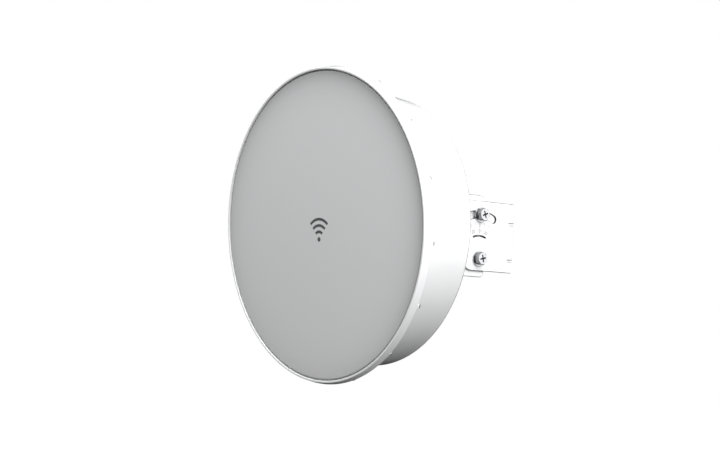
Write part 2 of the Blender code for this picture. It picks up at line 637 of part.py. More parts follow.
def make_pole_bracket():
    """Outer U: its sides hold the pivot bolts and the tilt slots, its web bolts to a mast or wall."""
    top, bottom = 0.0463, -0.0360
    front, toe = -0.092, -0.078
    outline = channel(POLE_BRACKET_HALF, 0.0, front - 0.002, SHEET)
    bracket = prism("pole_bracket", [outline], bottom - 0.002, top + 0.002, WORLD, WHITE_PAINT)
    side = rounded([(toe, bottom, 0.015), (0.002, bottom, 0.0065), (0.002, top, 0.0065),
                    (front, top, 0.0127), (front, 0.002, 0.010)], 7)
    pivot = (PIVOT_Y, PIVOT_Z)
    holes = [circle(pivot, BOLT_HOLE), curved_slot(pivot, SLOT_RADIUS, 2 * BOLT_HOLE, SLOT_TRAVEL),
             curved_slot(pivot, SCALE_SLOT_RADIUS, SCALE_SLOT_WIDTH, SCALE_SLOT_TRAVEL, 8)]
    boolean(bracket, prism("pole_bracket_side", [side] + holes, -0.05, 0.05, ALONG_X, None), "INTERSECT")
    inner = POLE_BRACKET_HALF - SHEET
    relief_top = WEB_HALF + RELIEF
    windows = [("box", (-inner, -0.012, relief_top), (inner, 0.01, 0.06)),
               ("box", (-inner, -0.012, -0.06), (inner, 0.01, -relief_top))]
    boolean(bracket, solids("pole_bracket_windows", windows, None))
    for name, low, high in (("upper", WEB_HALF, relief_top + 0.00001),
                            ("lower", -relief_top - 0.00001, -WEB_HALF)):
        relief = rounded([(-RELIEF_LENGTH, low, 0.0022), (0.01, low, 0), (0.01, high, 0),
                          (-RELIEF_LENGTH, high, 0.0004)])
        boolean(bracket, prism(f"pole_bracket_{name}_relief", [relief], -0.04, 0.04, ALONG_X, None))
    drilled = [bar((x, 0, z), "Y", 0.02, 0.00425, 16)
               for x in (-MAST_HOLE_X, MAST_HOLE_X) for z in (-MAST_HOLE_Z, MAST_HOLE_Z)]
    boolean(bracket, solids("pole_bracket_drillings", drilled, None))


def bolt_shape():
    """A cross-recessed hexagon bolt: head on local Z = 0, shank running down."""
    reach = BOLT_GRIP + NUT + 0.0015
    hexagon = bar((0, 0, BOLT_HEAD / 2), "Z", BOLT_HEAD, HEX_RADIUS, 6)
    bolt = solids("bolt_shape", [hexagon], None)
    shank = solids("bolt_shank", [bar((0, 0, 0.001 - reach / 2), "Z", reach + 0.002, BOLT_RADIUS)], None)
    boolean(bolt, shank, "UNION")
    depth, long, thin = 0.0026, 0.0040, 0.0009
    for name, x, y in (("bolt_cross_a", long, thin), ("bolt_cross_b", thin, long)):
        cross = solids(name, [("box", (-x, -y, BOLT_HEAD - depth), (x, y, BOLT_HEAD + 0.001))], None)
        boolean(bolt, cross)
    return bolt


def ring_shape(name, radius, height, sides):
    """A washer or nut standing on local Z = 0, bored for the bolt."""
    ring = solids(name, [bar((0, 0, height / 2), "Z", height, radius, sides)], None)
    bore = solids(name + "_bore", [bar((0, 0, height / 2), "Z", 2 * height, BOLT_RADIUS + GAP)], None)
    return boolean(ring, bore)


def make_bolts():
    """Pivot bolts on the pole bracket and tilt bolts on the dish bracket, one of each per side."""
    shapes = {
        "bolt": (bolt_shape(), POLE_BRACKET_HALF + 2 * WASHER + 3 * GAP),
        "washer": (ring_shape("washer_shape", WASHER_RADIUS, WASHER, 24), POLE_BRACKET_HALF + GAP),
        "spring_washer": (ring_shape("spring_washer_shape", SPRING_WASHER_RADIUS, WASHER, 16),
                          POLE_BRACKET_HALF + WASHER + 2 * GAP),
        "nut": (ring_shape("nut_shape", HEX_RADIUS, NUT, 6), DISH_BRACKET_HALF - SHEET - GAP - NUT),
    }
    for joint, height, parent in (("pivot", PIVOT_Z, None), ("tilt", PIVOT_Z + SLOT_RADIUS, tilt_axis)):
        for piece, (shape, distance) in shapes.items():
            places = {}
            for side, turn in (("right", 0), ("left", math.pi)):
                outward = Matrix.Rotation(turn, 4, "Z") @ ALONG_X @ Matrix.Translation((0, 0, distance))
                places[f"{joint}_{piece}_{side}"] = Matrix.Translation((0, PIVOT_Y, height)) @ outward
            copies(shape, places, ZINC, parent)


make_radome()
make_rim()
make_rim_gasket()
make_shroud()
make_reflector()
make_reflector_screws()
make_feed()
make_hub_housing()
make_hub_seals()
make_hub_cover()
make_cover_screws()
make_electronics()
make_reset_button()
make_port_door()
make_dish_bracket()
make_bracket_screws()
make_pole_bracket()
make_bolts()
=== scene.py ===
"""Finished surfaces, materials, camera and light of the outdoor wireless bridge.

Frame: metres, +Z up, antenna looking along -Y, origin at the centre of the pole bracket's rear face.
The +X side is called right, as seen by someone who faces the antenna.
"""

import math

import bmesh
import bpy
from mathutils import Matrix, Vector


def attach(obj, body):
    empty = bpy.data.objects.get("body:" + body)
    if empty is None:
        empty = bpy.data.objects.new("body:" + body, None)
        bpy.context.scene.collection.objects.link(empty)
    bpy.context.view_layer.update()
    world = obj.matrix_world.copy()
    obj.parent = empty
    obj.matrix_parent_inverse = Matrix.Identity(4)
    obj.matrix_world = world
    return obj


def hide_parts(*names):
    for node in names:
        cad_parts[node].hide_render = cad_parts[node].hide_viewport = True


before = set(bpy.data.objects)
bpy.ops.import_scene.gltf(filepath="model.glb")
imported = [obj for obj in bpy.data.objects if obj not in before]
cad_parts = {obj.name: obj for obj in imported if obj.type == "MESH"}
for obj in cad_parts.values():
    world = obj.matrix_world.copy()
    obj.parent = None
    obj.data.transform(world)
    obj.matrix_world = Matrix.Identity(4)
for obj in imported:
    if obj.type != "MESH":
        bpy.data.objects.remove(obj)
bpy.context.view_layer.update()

GAP = 0.0003                      # clearance between touching pieces
INK_THICKNESS = 0.00006
FINE_TURN = 288                   # facets round the radome, rim and drum

# The dish axis runs rearward along +Y. Distances called "deep" are behind the radome's front face.
RADOME_Y = -0.2713
AXIS_Z = 0.00125
RIM_TILT = math.radians(4.2)
RIM_RISE = 0.001
RADOME_RADIUS = 0.1708
RADOME_THICKNESS = 0.0025
RIM_RADIUS = 0.177
RIM_LIP = 0.0009
RIM_BORE = 0.1626
RIM_SEAT = 0.0050
RIM_DEEP = 0.0096                 # at mid height; the rim is shallower below and deeper above
RIM_SLOPE = 0.019
GROOVE = 0.0018
CLIP_COUNT = 16
CLIP_START = math.radians(16.0)
CLIP_INNER = 0.1655
CLIP_OUTER = 0.1765
CLIP_HALF = 0.0025
CLIP_LENGTH = 0.0028

SHROUD_REAR_RADIUS = 0.1528
SHROUD_REAR_DEEP = 0.083
SHROUD_TAPER = 0.1118
SHROUD_WALL = 0.0022
SHROUD_EDGE = 0.006
SHROUD_FLANGE_BORE = 0.139
SHROUD_TRIM = RADOME_THICKNESS + 2 * GAP

DISH_FOCAL = 0.104
DISH_RADIUS = 0.139
DISH_SHEET = 0.0016
DISH_FLANGE_RADIUS = 0.1465
DISH_HOLE = 0.0306
DISH_SCREW_CIRCLE = 0.143
DISH_SCREWS = 6

HUB_RADIUS = 0.042
HUB_WALL = 0.0025
HUB_FRONT = 0.1322
HUB_REAR = 0.156
NOSE_RADIUS = 0.030
NOSE_FRONT = 0.124
COVER_REAR = 0.160
COVER_SEAT = 0.1572
PAD_FRONT = 0.153
POST_OFFSET = 0.036 / math.sqrt(2)
HUB_POSTS = [(x, z) for x in (-POST_OFFSET, POST_OFFSET) for z in (-POST_OFFSET, POST_OFFSET)]
FEED_RADIUS = 0.011
BOSS_HALF = 0.021
BOSS_FRONT = 0.1365
BOSS_DROP = 0.046
BOSS_TOP_DROP = 0.0335
POST_RADIUS = 0.003
PORT_HALF = 0.0102
PORT_FRONT = 0.1382
PORT_REAR = 0.1546
BUTTON_X = 0.0165
BUTTON_DEEP = 0.146
BUTTON_RADIUS = 0.0016
LENS_X = -0.0155
LENS_RADIUS = 0.0012
LENS_DEEPS = (0.141, 0.1445, 0.148, 0.1515)
DOOR_AXIS_DEEP = 0.1362
DOOR_AXIS_DROP = 0.04885
DOOR_HALF = 0.0123
DOOR_THICKNESS = 0.0025
DOOR_PIN_RADIUS = 0.0008
LUG_HALF = 0.002
LUG_REACH = 0.0022

SHEET = 0.003
DISH_BRACKET_HALF = 0.029
POLE_BRACKET_HALF = DISH_BRACKET_HALF + GAP + SHEET
BEND = 0.004
PIVOT_Y = -0.0575
PIVOT_Z = -0.02135
PIVOT = (PIVOT_Y, PIVOT_Z)
SLOT_RADIUS = 0.0517
SLOT_TRAVEL = math.radians(24.5)
SCALE_SLOT_RADIUS = 0.0265
SCALE_SLOT_WIDTH = 0.0022
SCALE_SLOT_TRAVEL = math.radians(22.0)
BOLT_HOLE = 0.0044
BOLT_RADIUS = 0.004
BOLT_HEAD = 0.005
BOLT_PITCH = 0.00125
HEX_FLATS = 0.014
NUT = 0.0062
WASHER = 0.0012
WASHER_RADIUS = 0.0094
SPRING_RADIUS = 0.0069
BOLT_GRIP = 2 * SHEET + 2 * WASHER + 5 * GAP
WEB_HALF = 0.0205
RELIEF = 0.0026
RELIEF_LENGTH = 0.0105
MAST_HOLE_RADIUS = 0.00425
MAST_HOLES = [(x, z) for x in (-0.0205, 0.0205) for z in (-0.012, 0.012)]
COVER_SCREW_RADIUS = 0.0014
BRACKET_SCREW_RADIUS = 0.0024
BRACKET_SCREWS = [(x, z) for x in (-0.016, 0.016) for z in (-0.016, 0.016)]

ALONG_Y = Matrix.Rotation(math.radians(-90), 4, "X")       # local Z runs rearward
ALONG_X = Matrix(((0, 0, 1, 0), (1, 0, 0, 0), (0, 1, 0, 0), (0, 0, 0, 1)))   # local XY is Y, Z
DISH_AXIS = Matrix.Translation((0, RADOME_Y, AXIS_Z)) @ ALONG_Y
RIM_PLANE = (Matrix.Translation((0, RADOME_Y, AXIS_Z + RIM_RISE)) @ Matrix.Rotation(RIM_TILT, 4, "X")
             @ ALONG_Y)


def deep(distance):
    """Y of a point this far behind the radome's front face."""
    return RADOME_Y + distance


def up(height):
    """Z of a point this far above the dish axis."""
    return AXIS_Z + height


def in_scene(name, data):
    """A new object of that data, linked to the scene."""
    made = bpy.data.objects.new(name, data)
    bpy.context.scene.collection.objects.link(made)
    return made


# ---------------------------------------------------------------- materials

def node_of(tree, kind, settings=(), **inputs):
    """A new shader node with its properties and its unlinked inputs set."""
    made = tree.nodes.new(kind)
    for name, value in dict(settings).items():
        setattr(made, name, value)
    for name, value in inputs.items():
        made.inputs[name.replace("_", " ")].default_value = value
    return made


def product(tree, *sources):
    """The output of all the sources multiplied together."""
    result = sources[0]
    for source in sources[1:]:
        times = node_of(tree, "ShaderNodeMath", {"operation": "MULTIPLY"})
        tree.links.new(result, times.inputs[0])
        tree.links.new(source, times.inputs[1])
        result = times.outputs[0]
    return result


def finish(name, colour, roughness, metallic=0.0, grain=0.0, grain_size=0.0008, mottle=0.0,
           mottle_size=0.02, rough_mottle=0.0, **constants):
    """A surface with a fine bump of one grain size and slow changes of shade and gloss."""
    made = bpy.data.materials.new(name)
    made.use_nodes = True
    tree = made.node_tree
    shader = tree.nodes["Principled BSDF"]
    shader.inputs["Base Color"].default_value = (*colour, 1.0)
    shader.inputs["Roughness"].default_value = roughness
    shader.inputs["Metallic"].default_value = metallic
    for key, value in constants.items():
        shader.inputs[key.replace("_", " ")].default_value = value
    place = node_of(tree, "ShaderNodeTexCoord")
    if grain:
        noise = node_of(tree, "ShaderNodeTexNoise", Scale=1 / grain_size, Detail=2.0)
        bump = node_of(tree, "ShaderNodeBump", Strength=grain, Distance=grain_size * 0.2)
        tree.links.new(place.outputs["Object"], noise.inputs["Vector"])
        tree.links.new(noise.outputs["Fac"], bump.inputs["Height"])
        tree.links.new(bump.outputs["Normal"], shader.inputs["Normal"])
    if mottle or rough_mottle:
        clouds = node_of(tree, "ShaderNodeTexNoise", Scale=1 / mottle_size, Detail=4.0)
        tree.links.new(place.outputs["Object"], clouds.inputs["Vector"])
    if mottle:
        ramp = node_of(tree, "ShaderNodeValToRGB")
        low, high = ramp.color_ramp.elements
        low.position, high.position = 0.3, 0.7
        low.color = (*[c * (1 - mottle) for c in colour], 1.0)
        high.color = (*[min(1.0, c * (1 + mottle)) for c in colour], 1.0)
        tree.links.new(clouds.outputs["Fac"], ramp.inputs["Fac"])
        tree.links.new(ramp.outputs["Color"], shader.inputs["Base Color"])
    if rough_mottle:
        spread = node_of(tree, "ShaderNodeMapRange", From_Min=0.3, From_Max=0.7,
                         To_Min=roughness - rough_mottle, To_Max=roughness + rough_mottle)
        tree.links.new(clouds.outputs["Fac"], spread.inputs["Value"])
        tree.links.new(spread.outputs["Result"], shader.inputs["Roughness"])
    return made


def radome_with_painted_shade():
    """Light grey satin sheet with painted shade: its colour darkens softly towards its edge, most at the
    upper right, where the rim's lip shadows it.
    """
    made = finish("radome_sheet", (0.71, 0.715, 0.72), 0.6, grain=0.10, grain_size=0.0011,
                  Specular_IOR_Level=0.04)
    tree = made.node_tree
    shader = tree.nodes["Principled BSDF"]
    place = next(n for n in tree.nodes if n.bl_idname == "ShaderNodeTexCoord")
    # Painted shade: the base colour is mixed towards black over the outer 40 % of the radius, most at the
    # upper right, in place of the lip's shadow.
    centred = node_of(tree, "ShaderNodeVectorMath", {"operation": "MULTIPLY"})
    centred.inputs[1].default_value = (1.0, 0.0, 1.0)
    radius = node_of(tree, "ShaderNodeVectorMath", {"operation": "LENGTH"})
    reach = node_of(tree, "ShaderNodeMapRange", From_Min=0.6 * RADOME_RADIUS, From_Max=RADOME_RADIUS)
    edge = node_of(tree, "ShaderNodeValToRGB")
    edge.color_ramp.interpolation = "B_SPLINE"
    stops = edge.color_ramp.elements
    stops[0].position, stops[0].color = 0.0, (0.0, 0.0, 0.0, 1.0)
    stops[1].position, stops[1].color = 1.0, (0.95, 0.95, 0.95, 1.0)
    for position, level in ((0.35, 0.04), (0.6, 0.12), (0.8, 0.32), (0.92, 0.60)):
        stop = stops.new(position)
        stop.color = (level, level, level, 1.0)
    side = node_of(tree, "ShaderNodeVectorMath", {"operation": "DOT_PRODUCT"})
    side.inputs[1].default_value = (0.707 / RADOME_RADIUS, 0.0, 0.707 / RADOME_RADIUS)
    share = node_of(tree, "ShaderNodeMapRange", From_Min=-1.0, From_Max=1.0, To_Min=0.16, To_Max=0.46)
    blend = node_of(tree, "ShaderNodeMix", {"data_type": "RGBA"})
    blend.inputs[6].default_value = shader.inputs["Base Color"].default_value[:]
    blend.inputs[7].default_value = (0.0, 0.0, 0.0, 1.0)
    link = tree.links.new
    link(place.outputs["Object"], centred.inputs[0])
    link(centred.outputs[0], radius.inputs[0])
    link(radius.outputs["Value"], reach.inputs["Value"])
    link(reach.outputs["Result"], edge.inputs["Fac"])
    link(centred.outputs[0], side.inputs[0])
    link(side.outputs["Value"], share.inputs["Value"])
    link(product(tree, edge.outputs["Color"], share.outputs["Result"]), blend.inputs[0])
    link(blend.outputs[2], shader.inputs["Base Color"])
    return made


SURFACES = {
    "white_plastic": finish("white_moulding", (0.86, 0.865, 0.87), 0.42, grain=0.12, grain_size=0.0007,
                            mottle=0.012, mottle_size=0.05, rough_mottle=0.04, Coat_Weight=1.0,
                            Coat_Roughness=0.06),
    "radome_grey": radome_with_painted_shade(),
    "rubber": finish("black_rubber", (0.03, 0.03, 0.032), 0.75, grain=0.4, grain_size=0.0006, mottle=0.2),
    "dark_plastic": finish("dark_moulding", (0.07, 0.07, 0.075), 0.5, grain=0.3, grain_size=0.0005,
                           mottle=0.1),
    "natural_plastic": finish("natural_nylon", (0.80, 0.79, 0.74), 0.45, grain=0.2, grain_size=0.0008,
                              mottle=0.03, Subsurface_Weight=0.1, Subsurface_Scale=0.002),
    "white_paint": finish("white_powder_coat", (0.85, 0.855, 0.86), 0.36, grain=0.35, grain_size=0.0013,
                          mottle=0.015, mottle_size=0.015, rough_mottle=0.06),
    "coated_aluminium": finish("coated_sheet", (0.84, 0.845, 0.85), 0.40, grain=0.3, grain_size=0.0012,
                               mottle=0.015, mottle_size=0.03, rough_mottle=0.05),
    "aluminium": finish("milled_aluminium", (0.72, 0.73, 0.74), 0.36, 1.0, grain=0.2, grain_size=0.0004,
                        mottle=0.06, mottle_size=0.004, rough_mottle=0.08),
    "zinc": finish("zinc_plate", (0.60, 0.61, 0.63), 0.26, 1.0, grain=0.25, grain_size=0.0005,
                   mottle=0.12, mottle_size=0.002, rough_mottle=0.10),
    "circuit_board": finish("solder_mask", (0.03, 0.16, 0.07), 0.35, grain=0.3, grain_size=0.0012,
                            mottle=0.25, mottle_size=0.003),
    "contact_gold": finish("gold_contacts", (0.83, 0.62, 0.24), 0.28, 1.0, mottle=0.05, mottle_size=0.001),
    "clear_lens": finish("light_pipe", (0.80, 0.88, 0.92), 0.12, grain=0.05, grain_size=0.0006,
                         mottle=0.03, Transmission_Weight=0.6, IOR=1.49),
}
# Painted shade: a darker copy of the zinc for the bolts' head sides and chamfers and for the spring washers.
SHADED_ZINC = finish("shaded_zinc", (0.27, 0.272, 0.275), 0.35, 1.0, grain=0.5, grain_size=0.0005, mottle=0.25,
                   mottle_size=0.0015)
# Painted light: a lighter copy of the white moulding for the rim band.
LIT_RIM_WHITE = finish("lit_rim_moulding", (0.93, 0.935, 0.94), 0.36, grain=0.10, grain_size=0.0007,
                   mottle=0.012, mottle_size=0.05, rough_mottle=0.04, Coat_Weight=1.0, Coat_Roughness=0.06)
# Painted shade: near black for the brackets' rounded edges and for a line round the drum's rolled rear.
PAINTED_EDGE_SHADE = finish("painted_edge_shade", (0.10, 0.10, 0.105), 0.5, grain=0.2, grain_size=0.0006, mottle=0.10,
                    mottle_size=0.004)
# Painted shade: dark grey for the brackets' inward faces.
PAINTED_INNER_SHADE = finish("painted_inner_shade", (0.14, 0.142, 0.145), 0.6, grain=0.15, grain_size=0.0008, mottle=0.05,
                mottle_size=0.01)
# Painted shadow: near black for the slot walls, the clip hooks and the bolts' recesses.
PAINTED_SHADOW = finish("painted_shadow", (0.045, 0.045, 0.048), 0.5, grain=0.3, grain_size=0.0006, mottle=0.25,
                  mottle_size=0.002)
INK = finish("printed_ink", (0.10, 0.10, 0.105), 0.55, grain=0.2, grain_size=0.0006, mottle=0.12,
             mottle_size=0.003)
SCALE_INK = finish("scale_ink", (0.26, 0.262, 0.265), 0.5, grain=0.2, grain_size=0.0006, mottle=0.15,
                   mottle_size=0.002)


# ---------------------------------------------------------------- meshes

def mesh_of(shape, name):
    """A new mesh from a finished bmesh, which is freed."""
    mesh = bpy.data.meshes.new(name)
    shape.to_mesh(mesh)
    shape.free()
    return mesh


def tidy(mesh):
    """Merge doubles and point every face outward."""
    shape = bmesh.new()
    shape.from_mesh(mesh)
    bmesh.ops.remove_doubles(shape, verts=shape.verts, dist=0.0000005)
    bmesh.ops.recalc_face_normals(shape, faces=shape.faces)
    if shape.calc_volume(signed=True) < 0:
        bmesh.ops.reverse_faces(shape, faces=shape.faces)
    shape.to_mesh(mesh)
    shape.free()
    return mesh


def moved(mesh, matrix):
    """A copy of the mesh, transformed."""
    made = mesh.copy()
    made.transform(matrix)
    return made


def evaluated(worker):
    """The object's final mesh; the object is removed."""
    bpy.context.view_layer.update()
    made = bpy.data.meshes.new_from_object(worker.evaluated_get(bpy.context.evaluated_depsgraph_get()))
    bpy.data.objects.remove(worker)
    return made


def modified(mesh, kind, **settings):
    """The mesh after one modifier."""
    worker = in_scene("worker", mesh)
    step = worker.modifiers.new("step", kind)
    for name, value in settings.items():
        setattr(step, name, value)
    return evaluated(worker)


def combined(mesh, tool_mesh, operation="DIFFERENCE"):
    """The mesh after a Boolean with the tool's mesh."""
    tool = in_scene("tool", tool_mesh)
    made = modified(mesh, "BOOLEAN", operation=operation, solver="EXACT", object=tool)
    bpy.data.objects.remove(tool)
    return made


def eased(mesh, width, steps=2, angle=35.0, dark=False):
    """Edges sharper than the angle are rounded over a width; with dark, the rounded faces take the painted
    edge shade as second material.
    """
    if dark:
        mesh.materials.clear()
        mesh.materials.append(SURFACES["white_paint"])
        mesh.materials.append(PAINTED_EDGE_SHADE)
    return modified(mesh, "BEVEL", width=width, segments=steps, limit_method="ANGLE",
                    angle_limit=math.radians(angle), harden_normals=False,
                    material=1 if dark else -1, use_clamp_overlap=not dark)


def joined(*meshes):
    """One mesh of several; they keep their material indices."""
    shape = bmesh.new()
    for mesh in meshes:
        shape.from_mesh(mesh)
    return mesh_of(shape, "joined")


def lathe(profile, matrix=Matrix.Identity(4), segments=96):
    """A profile of (radius, depth) points turned about the matrix's Z.

    A profile that starts off the axis closes on itself.
    """
    shape = bmesh.new()
    rings = []
    for radius, depth in profile:
        if radius == 0:
            rings.append([shape.verts.new((0, 0, depth))])
            continue
        rings.append([shape.verts.new((radius * math.cos(turn), radius * math.sin(turn), depth))
                      for turn in (2 * math.pi * i / segments for i in range(segments))])
    pairs = list(zip(rings, rings[1:]))
    if profile[0][0] > 0:
        pairs.append((rings[-1], rings[0]))
    for first, second in pairs:
        for i in range(segments):
            corners = [first[i % len(first)], first[(i + 1) % len(first)],
                       second[(i + 1) % len(second)], second[i % len(second)]]
            corners = [c for n, c in enumerate(corners) if c not in corners[:n]]
            if len(corners) > 2:
                shape.faces.new(corners)
    mesh = tidy(mesh_of(shape, "lathe"))
    mesh.transform(matrix)
    return mesh


def block(low, high):
    """A box from its lowest corner to its highest."""
    shape = bmesh.new()
    size = [h - l for l, h in zip(low, high)]
    centre = [(h + l) / 2 for l, h in zip(low, high)]
    bmesh.ops.create_cube(shape, size=1, matrix=Matrix.Translation(centre) @ Matrix.Diagonal((*size, 1)))
    return mesh_of(shape, "block")


def rod(centre, axis, length, radius, sides=32):
    """A cylinder or prism along X, Y or Z."""
    shape = bmesh.new()
    turn = {"X": ALONG_X, "Y": ALONG_Y, "Z": Matrix.Identity(4)}[axis]
    bmesh.ops.create_cone(shape, cap_ends=True, segments=sides, radius1=radius, radius2=radius,
                          depth=length, matrix=Matrix.Translation(centre) @ turn)
    return mesh_of(shape, "rod")


def slab(loops, low, high, matrix=Matrix.Identity(4)):
    """A flat outline with holes, extruded along its own Z from low to high."""
    curve = bpy.data.curves.new("outline", "CURVE")
    curve.dimensions = "2D"
    curve.fill_mode = "BOTH"
    curve.extrude = (high - low) / 2
    for loop in loops:
        spline = curve.splines.new("POLY")
        spline.points.add(len(loop) - 1)
        spline.use_cyclic_u = True
        for point, (x, y) in zip(spline.points, loop):
            point.co = (x, y, 0, 1)
    mesh = tidy(evaluated(in_scene("outline", curve)))
    mesh.transform(matrix @ Matrix.Translation((0, 0, (low + high) / 2)))
    return mesh


def piece(name, mesh, body, slot, *stands_for, surface=None, edge=(), sharp=35.0):
    """Put a finished mesh on a body, in place of the CAD nodes it stands for.

    Its first material is the surface, or else its slot's finish, and edge holds the ones after it.
    """
    mesh.name = name
    chosen = [face.material_index for face in mesh.polygons]
    mesh.materials.clear()
    for material in (surface or SURFACES[slot], *edge):
        mesh.materials.append(material)
    if edge:
        mesh.polygons.foreach_set("material_index", chosen)
    mesh.shade_smooth()
    mesh.set_sharp_from_angle(angle=math.radians(sharp))
    obj = in_scene(name, mesh)
    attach(obj, body)
    if stands_for:
        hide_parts(*stands_for)
    return obj


# ---------------------------------------------------------------- outlines

def arc(centre, radius, start, end, steps):
    """Points along an arc, both ends included; angles in radians."""
    turn = (end - start) / steps
    angles = [start + turn * i for i in range(steps + 1)]
    return [(centre[0] + radius * math.cos(angle), centre[1] + radius * math.sin(angle)) for angle in angles]


def circle(centre, radius, steps=32):
    """Points round a full circle."""
    return arc(centre, radius, 0, 2 * math.pi, steps)[:-1]


def rounded(corners, steps=6, closed=True):
    """A line of (x, y, radius) corners with each corner rounded; a radius of 0 stays sharp."""
    outline = []
    count = len(corners)
    for i, (x, y, radius) in enumerate(corners):
        if radius == 0 or (not closed and i in (0, count - 1)):
            outline.append((x, y))
            continue
        before = corners[i - 1]
        after = corners[(i + 1) % count]
        come = math.atan2(y - before[1], x - before[0])
        leave = math.atan2(after[1] - y, after[0] - x)
        bend = (leave - come + math.pi) % (2 * math.pi) - math.pi
        back = radius * math.tan(abs(bend) / 2)
        side = math.copysign(math.pi / 2, bend)
        centre = (x - back * math.cos(come) + radius * math.cos(come + side),
                  y - back * math.sin(come) + radius * math.sin(come + side))
        outline += arc(centre, radius, come - side, come - side + bend, steps)
    return outline


def curved_slot(centre, radius, width, travel, steps=28):
    """A slot along an arc about the centre, as far to each side of straight up as travel."""
    low, high = math.pi / 2 - travel, math.pi / 2 + travel
    outer = arc(centre, radius + width / 2, low, high, steps)
    inner = arc(centre, radius - width / 2, high, low, steps)
    left_end = (centre[0] + radius * math.cos(high), centre[1] + radius * math.sin(high))
    right_end = (centre[0] + radius * math.cos(low), centre[1] + radius * math.sin(low))
    left = arc(left_end, width / 2, high, high + math.pi, 12)[1:-1]
    right = arc(right_end, width / 2, low - math.pi, low, 12)[1:-1]
    return outer + left + inner + right


def channel(half, web_at, ends_at):
    """Plan outline of a bent U: its web's outer face at web_at, its sides' free ends at ends_at."""
    way = math.copysign(1, ends_at - web_at)
    inner = half - SHEET
    web = web_at + way * SHEET
    return rounded([(half, ends_at, 0), (half, web_at, BEND), (-half, web_at, BEND), (-half, ends_at, 0),
                    (-inner, ends_at, 0), (-inner, web, BEND - SHEET), (inner, web, BEND - SHEET),
                    (inner, ends_at, 0)])


# ---------------------------------------------------------------- front

def make_clip(rear):
    """A clip behind the rim, whose rear face is at that depth, and a small block of painted shadow at its
    hook.
    """
    tip = rear + CLIP_LENGTH
    clip = eased(block((CLIP_INNER, -CLIP_HALF, rear - 0.001), (CLIP_OUTER, CLIP_HALF, tip)), 0.0005, 3)
    # Painted shadow: a dark block where the clip's hook throws its shade.
    painted_hook_shadow = block((CLIP_OUTER - 0.0016, -CLIP_HALF, tip - 0.0008),
                 (CLIP_OUTER + 0.0001, CLIP_HALF - 0.0012, tip + 0.0004))
    for face in painted_hook_shadow.polygons:
        face.material_index = 1
    return clip, painted_hook_shadow


def make_front():
    """The radome sheet, and the rim that holds it with clips along its rear."""
    ease = 0.0007
    turned_edge = arc((RADOME_RADIUS - ease, ease), ease, 0, -math.pi / 2, 5)
    sheet = [(0, RADOME_THICKNESS), (RADOME_RADIUS, RADOME_THICKNESS)] + turned_edge + [(0, 0)]
    piece("radome_panel", lathe(sheet, RIM_PLANE, FINE_TURN), "head", "radome_grey", "radome")

    bore = RADOME_RADIUS + GROOVE
    ring = lathe(rounded([
        (RIM_RADIUS - 0.0004, RIM_DEEP, 0.0002), (RIM_RADIUS, RIM_DEEP - 0.0006, 0.0003),
        (RIM_RADIUS - 0.0018, -0.0003, 0.0006), (RIM_RADIUS - 0.0024, -RIM_LIP, 0.0003),
        (bore + 0.0004, -RIM_LIP, 0.0003), (bore, -0.0005, 0.0003), (bore, RIM_SEAT, 0),
        (RIM_BORE, RIM_SEAT, 0), (RIM_BORE, RIM_DEEP, 0)], 4), segments=FINE_TURN)
    for vert in ring.vertices:
        if vert.co.z > RIM_SEAT + 0.001:
            vert.co.z -= RIM_SLOPE * vert.co.y
    parts = [moved(ring, RIM_PLANE)]
    for i in range(CLIP_COUNT):
        angle = i * 2 * math.pi / CLIP_COUNT - CLIP_START
        place = RIM_PLANE @ Matrix.Rotation(angle, 4, "Z")
        rear = RIM_DEEP - RIM_SLOPE * CLIP_OUTER * math.sin(angle)
        parts += [moved(mesh, place) for mesh in make_clip(rear)]
    # The ring is a lighter copy of the white moulding, as painted light on its band; its clip hook blocks
    # carry painted shadow.
    piece("rim_ring", joined(*parts), "head", "white_plastic", "radome_rim", surface=LIT_RIM_WHITE,
          edge=(PAINTED_SHADOW,))


def make_glyph():
    """A plain signal sign printed under the middle of the radome: a dot and three arcs."""
    foot = (-0.0012, -0.0160)
    lift = 0.00002
    width = 0.0031
    left = math.pi / 2 + math.radians(42)
    right = math.pi / 2 - math.radians(42)
    marks = [slab([circle((0, 0), 0.0026, 36)], 0, INK_THICKNESS)]
    for radius in (0.0085, 0.0155, 0.0225):
        band = arc((0, 0), radius + width / 2, left, right, 24)
        band += arc((0, 0), radius - width / 2, right, left, 24)
        marks.append(slab([band], 0, INK_THICKNESS))
    upright = Matrix.Rotation(math.pi, 4, "X") @ Matrix.Translation((*foot, lift))
    piece("signal_sign", moved(joined(*marks), RIM_PLANE @ upright), "head", None, surface=INK)


# ---------------------------------------------------------------- drum and reflector

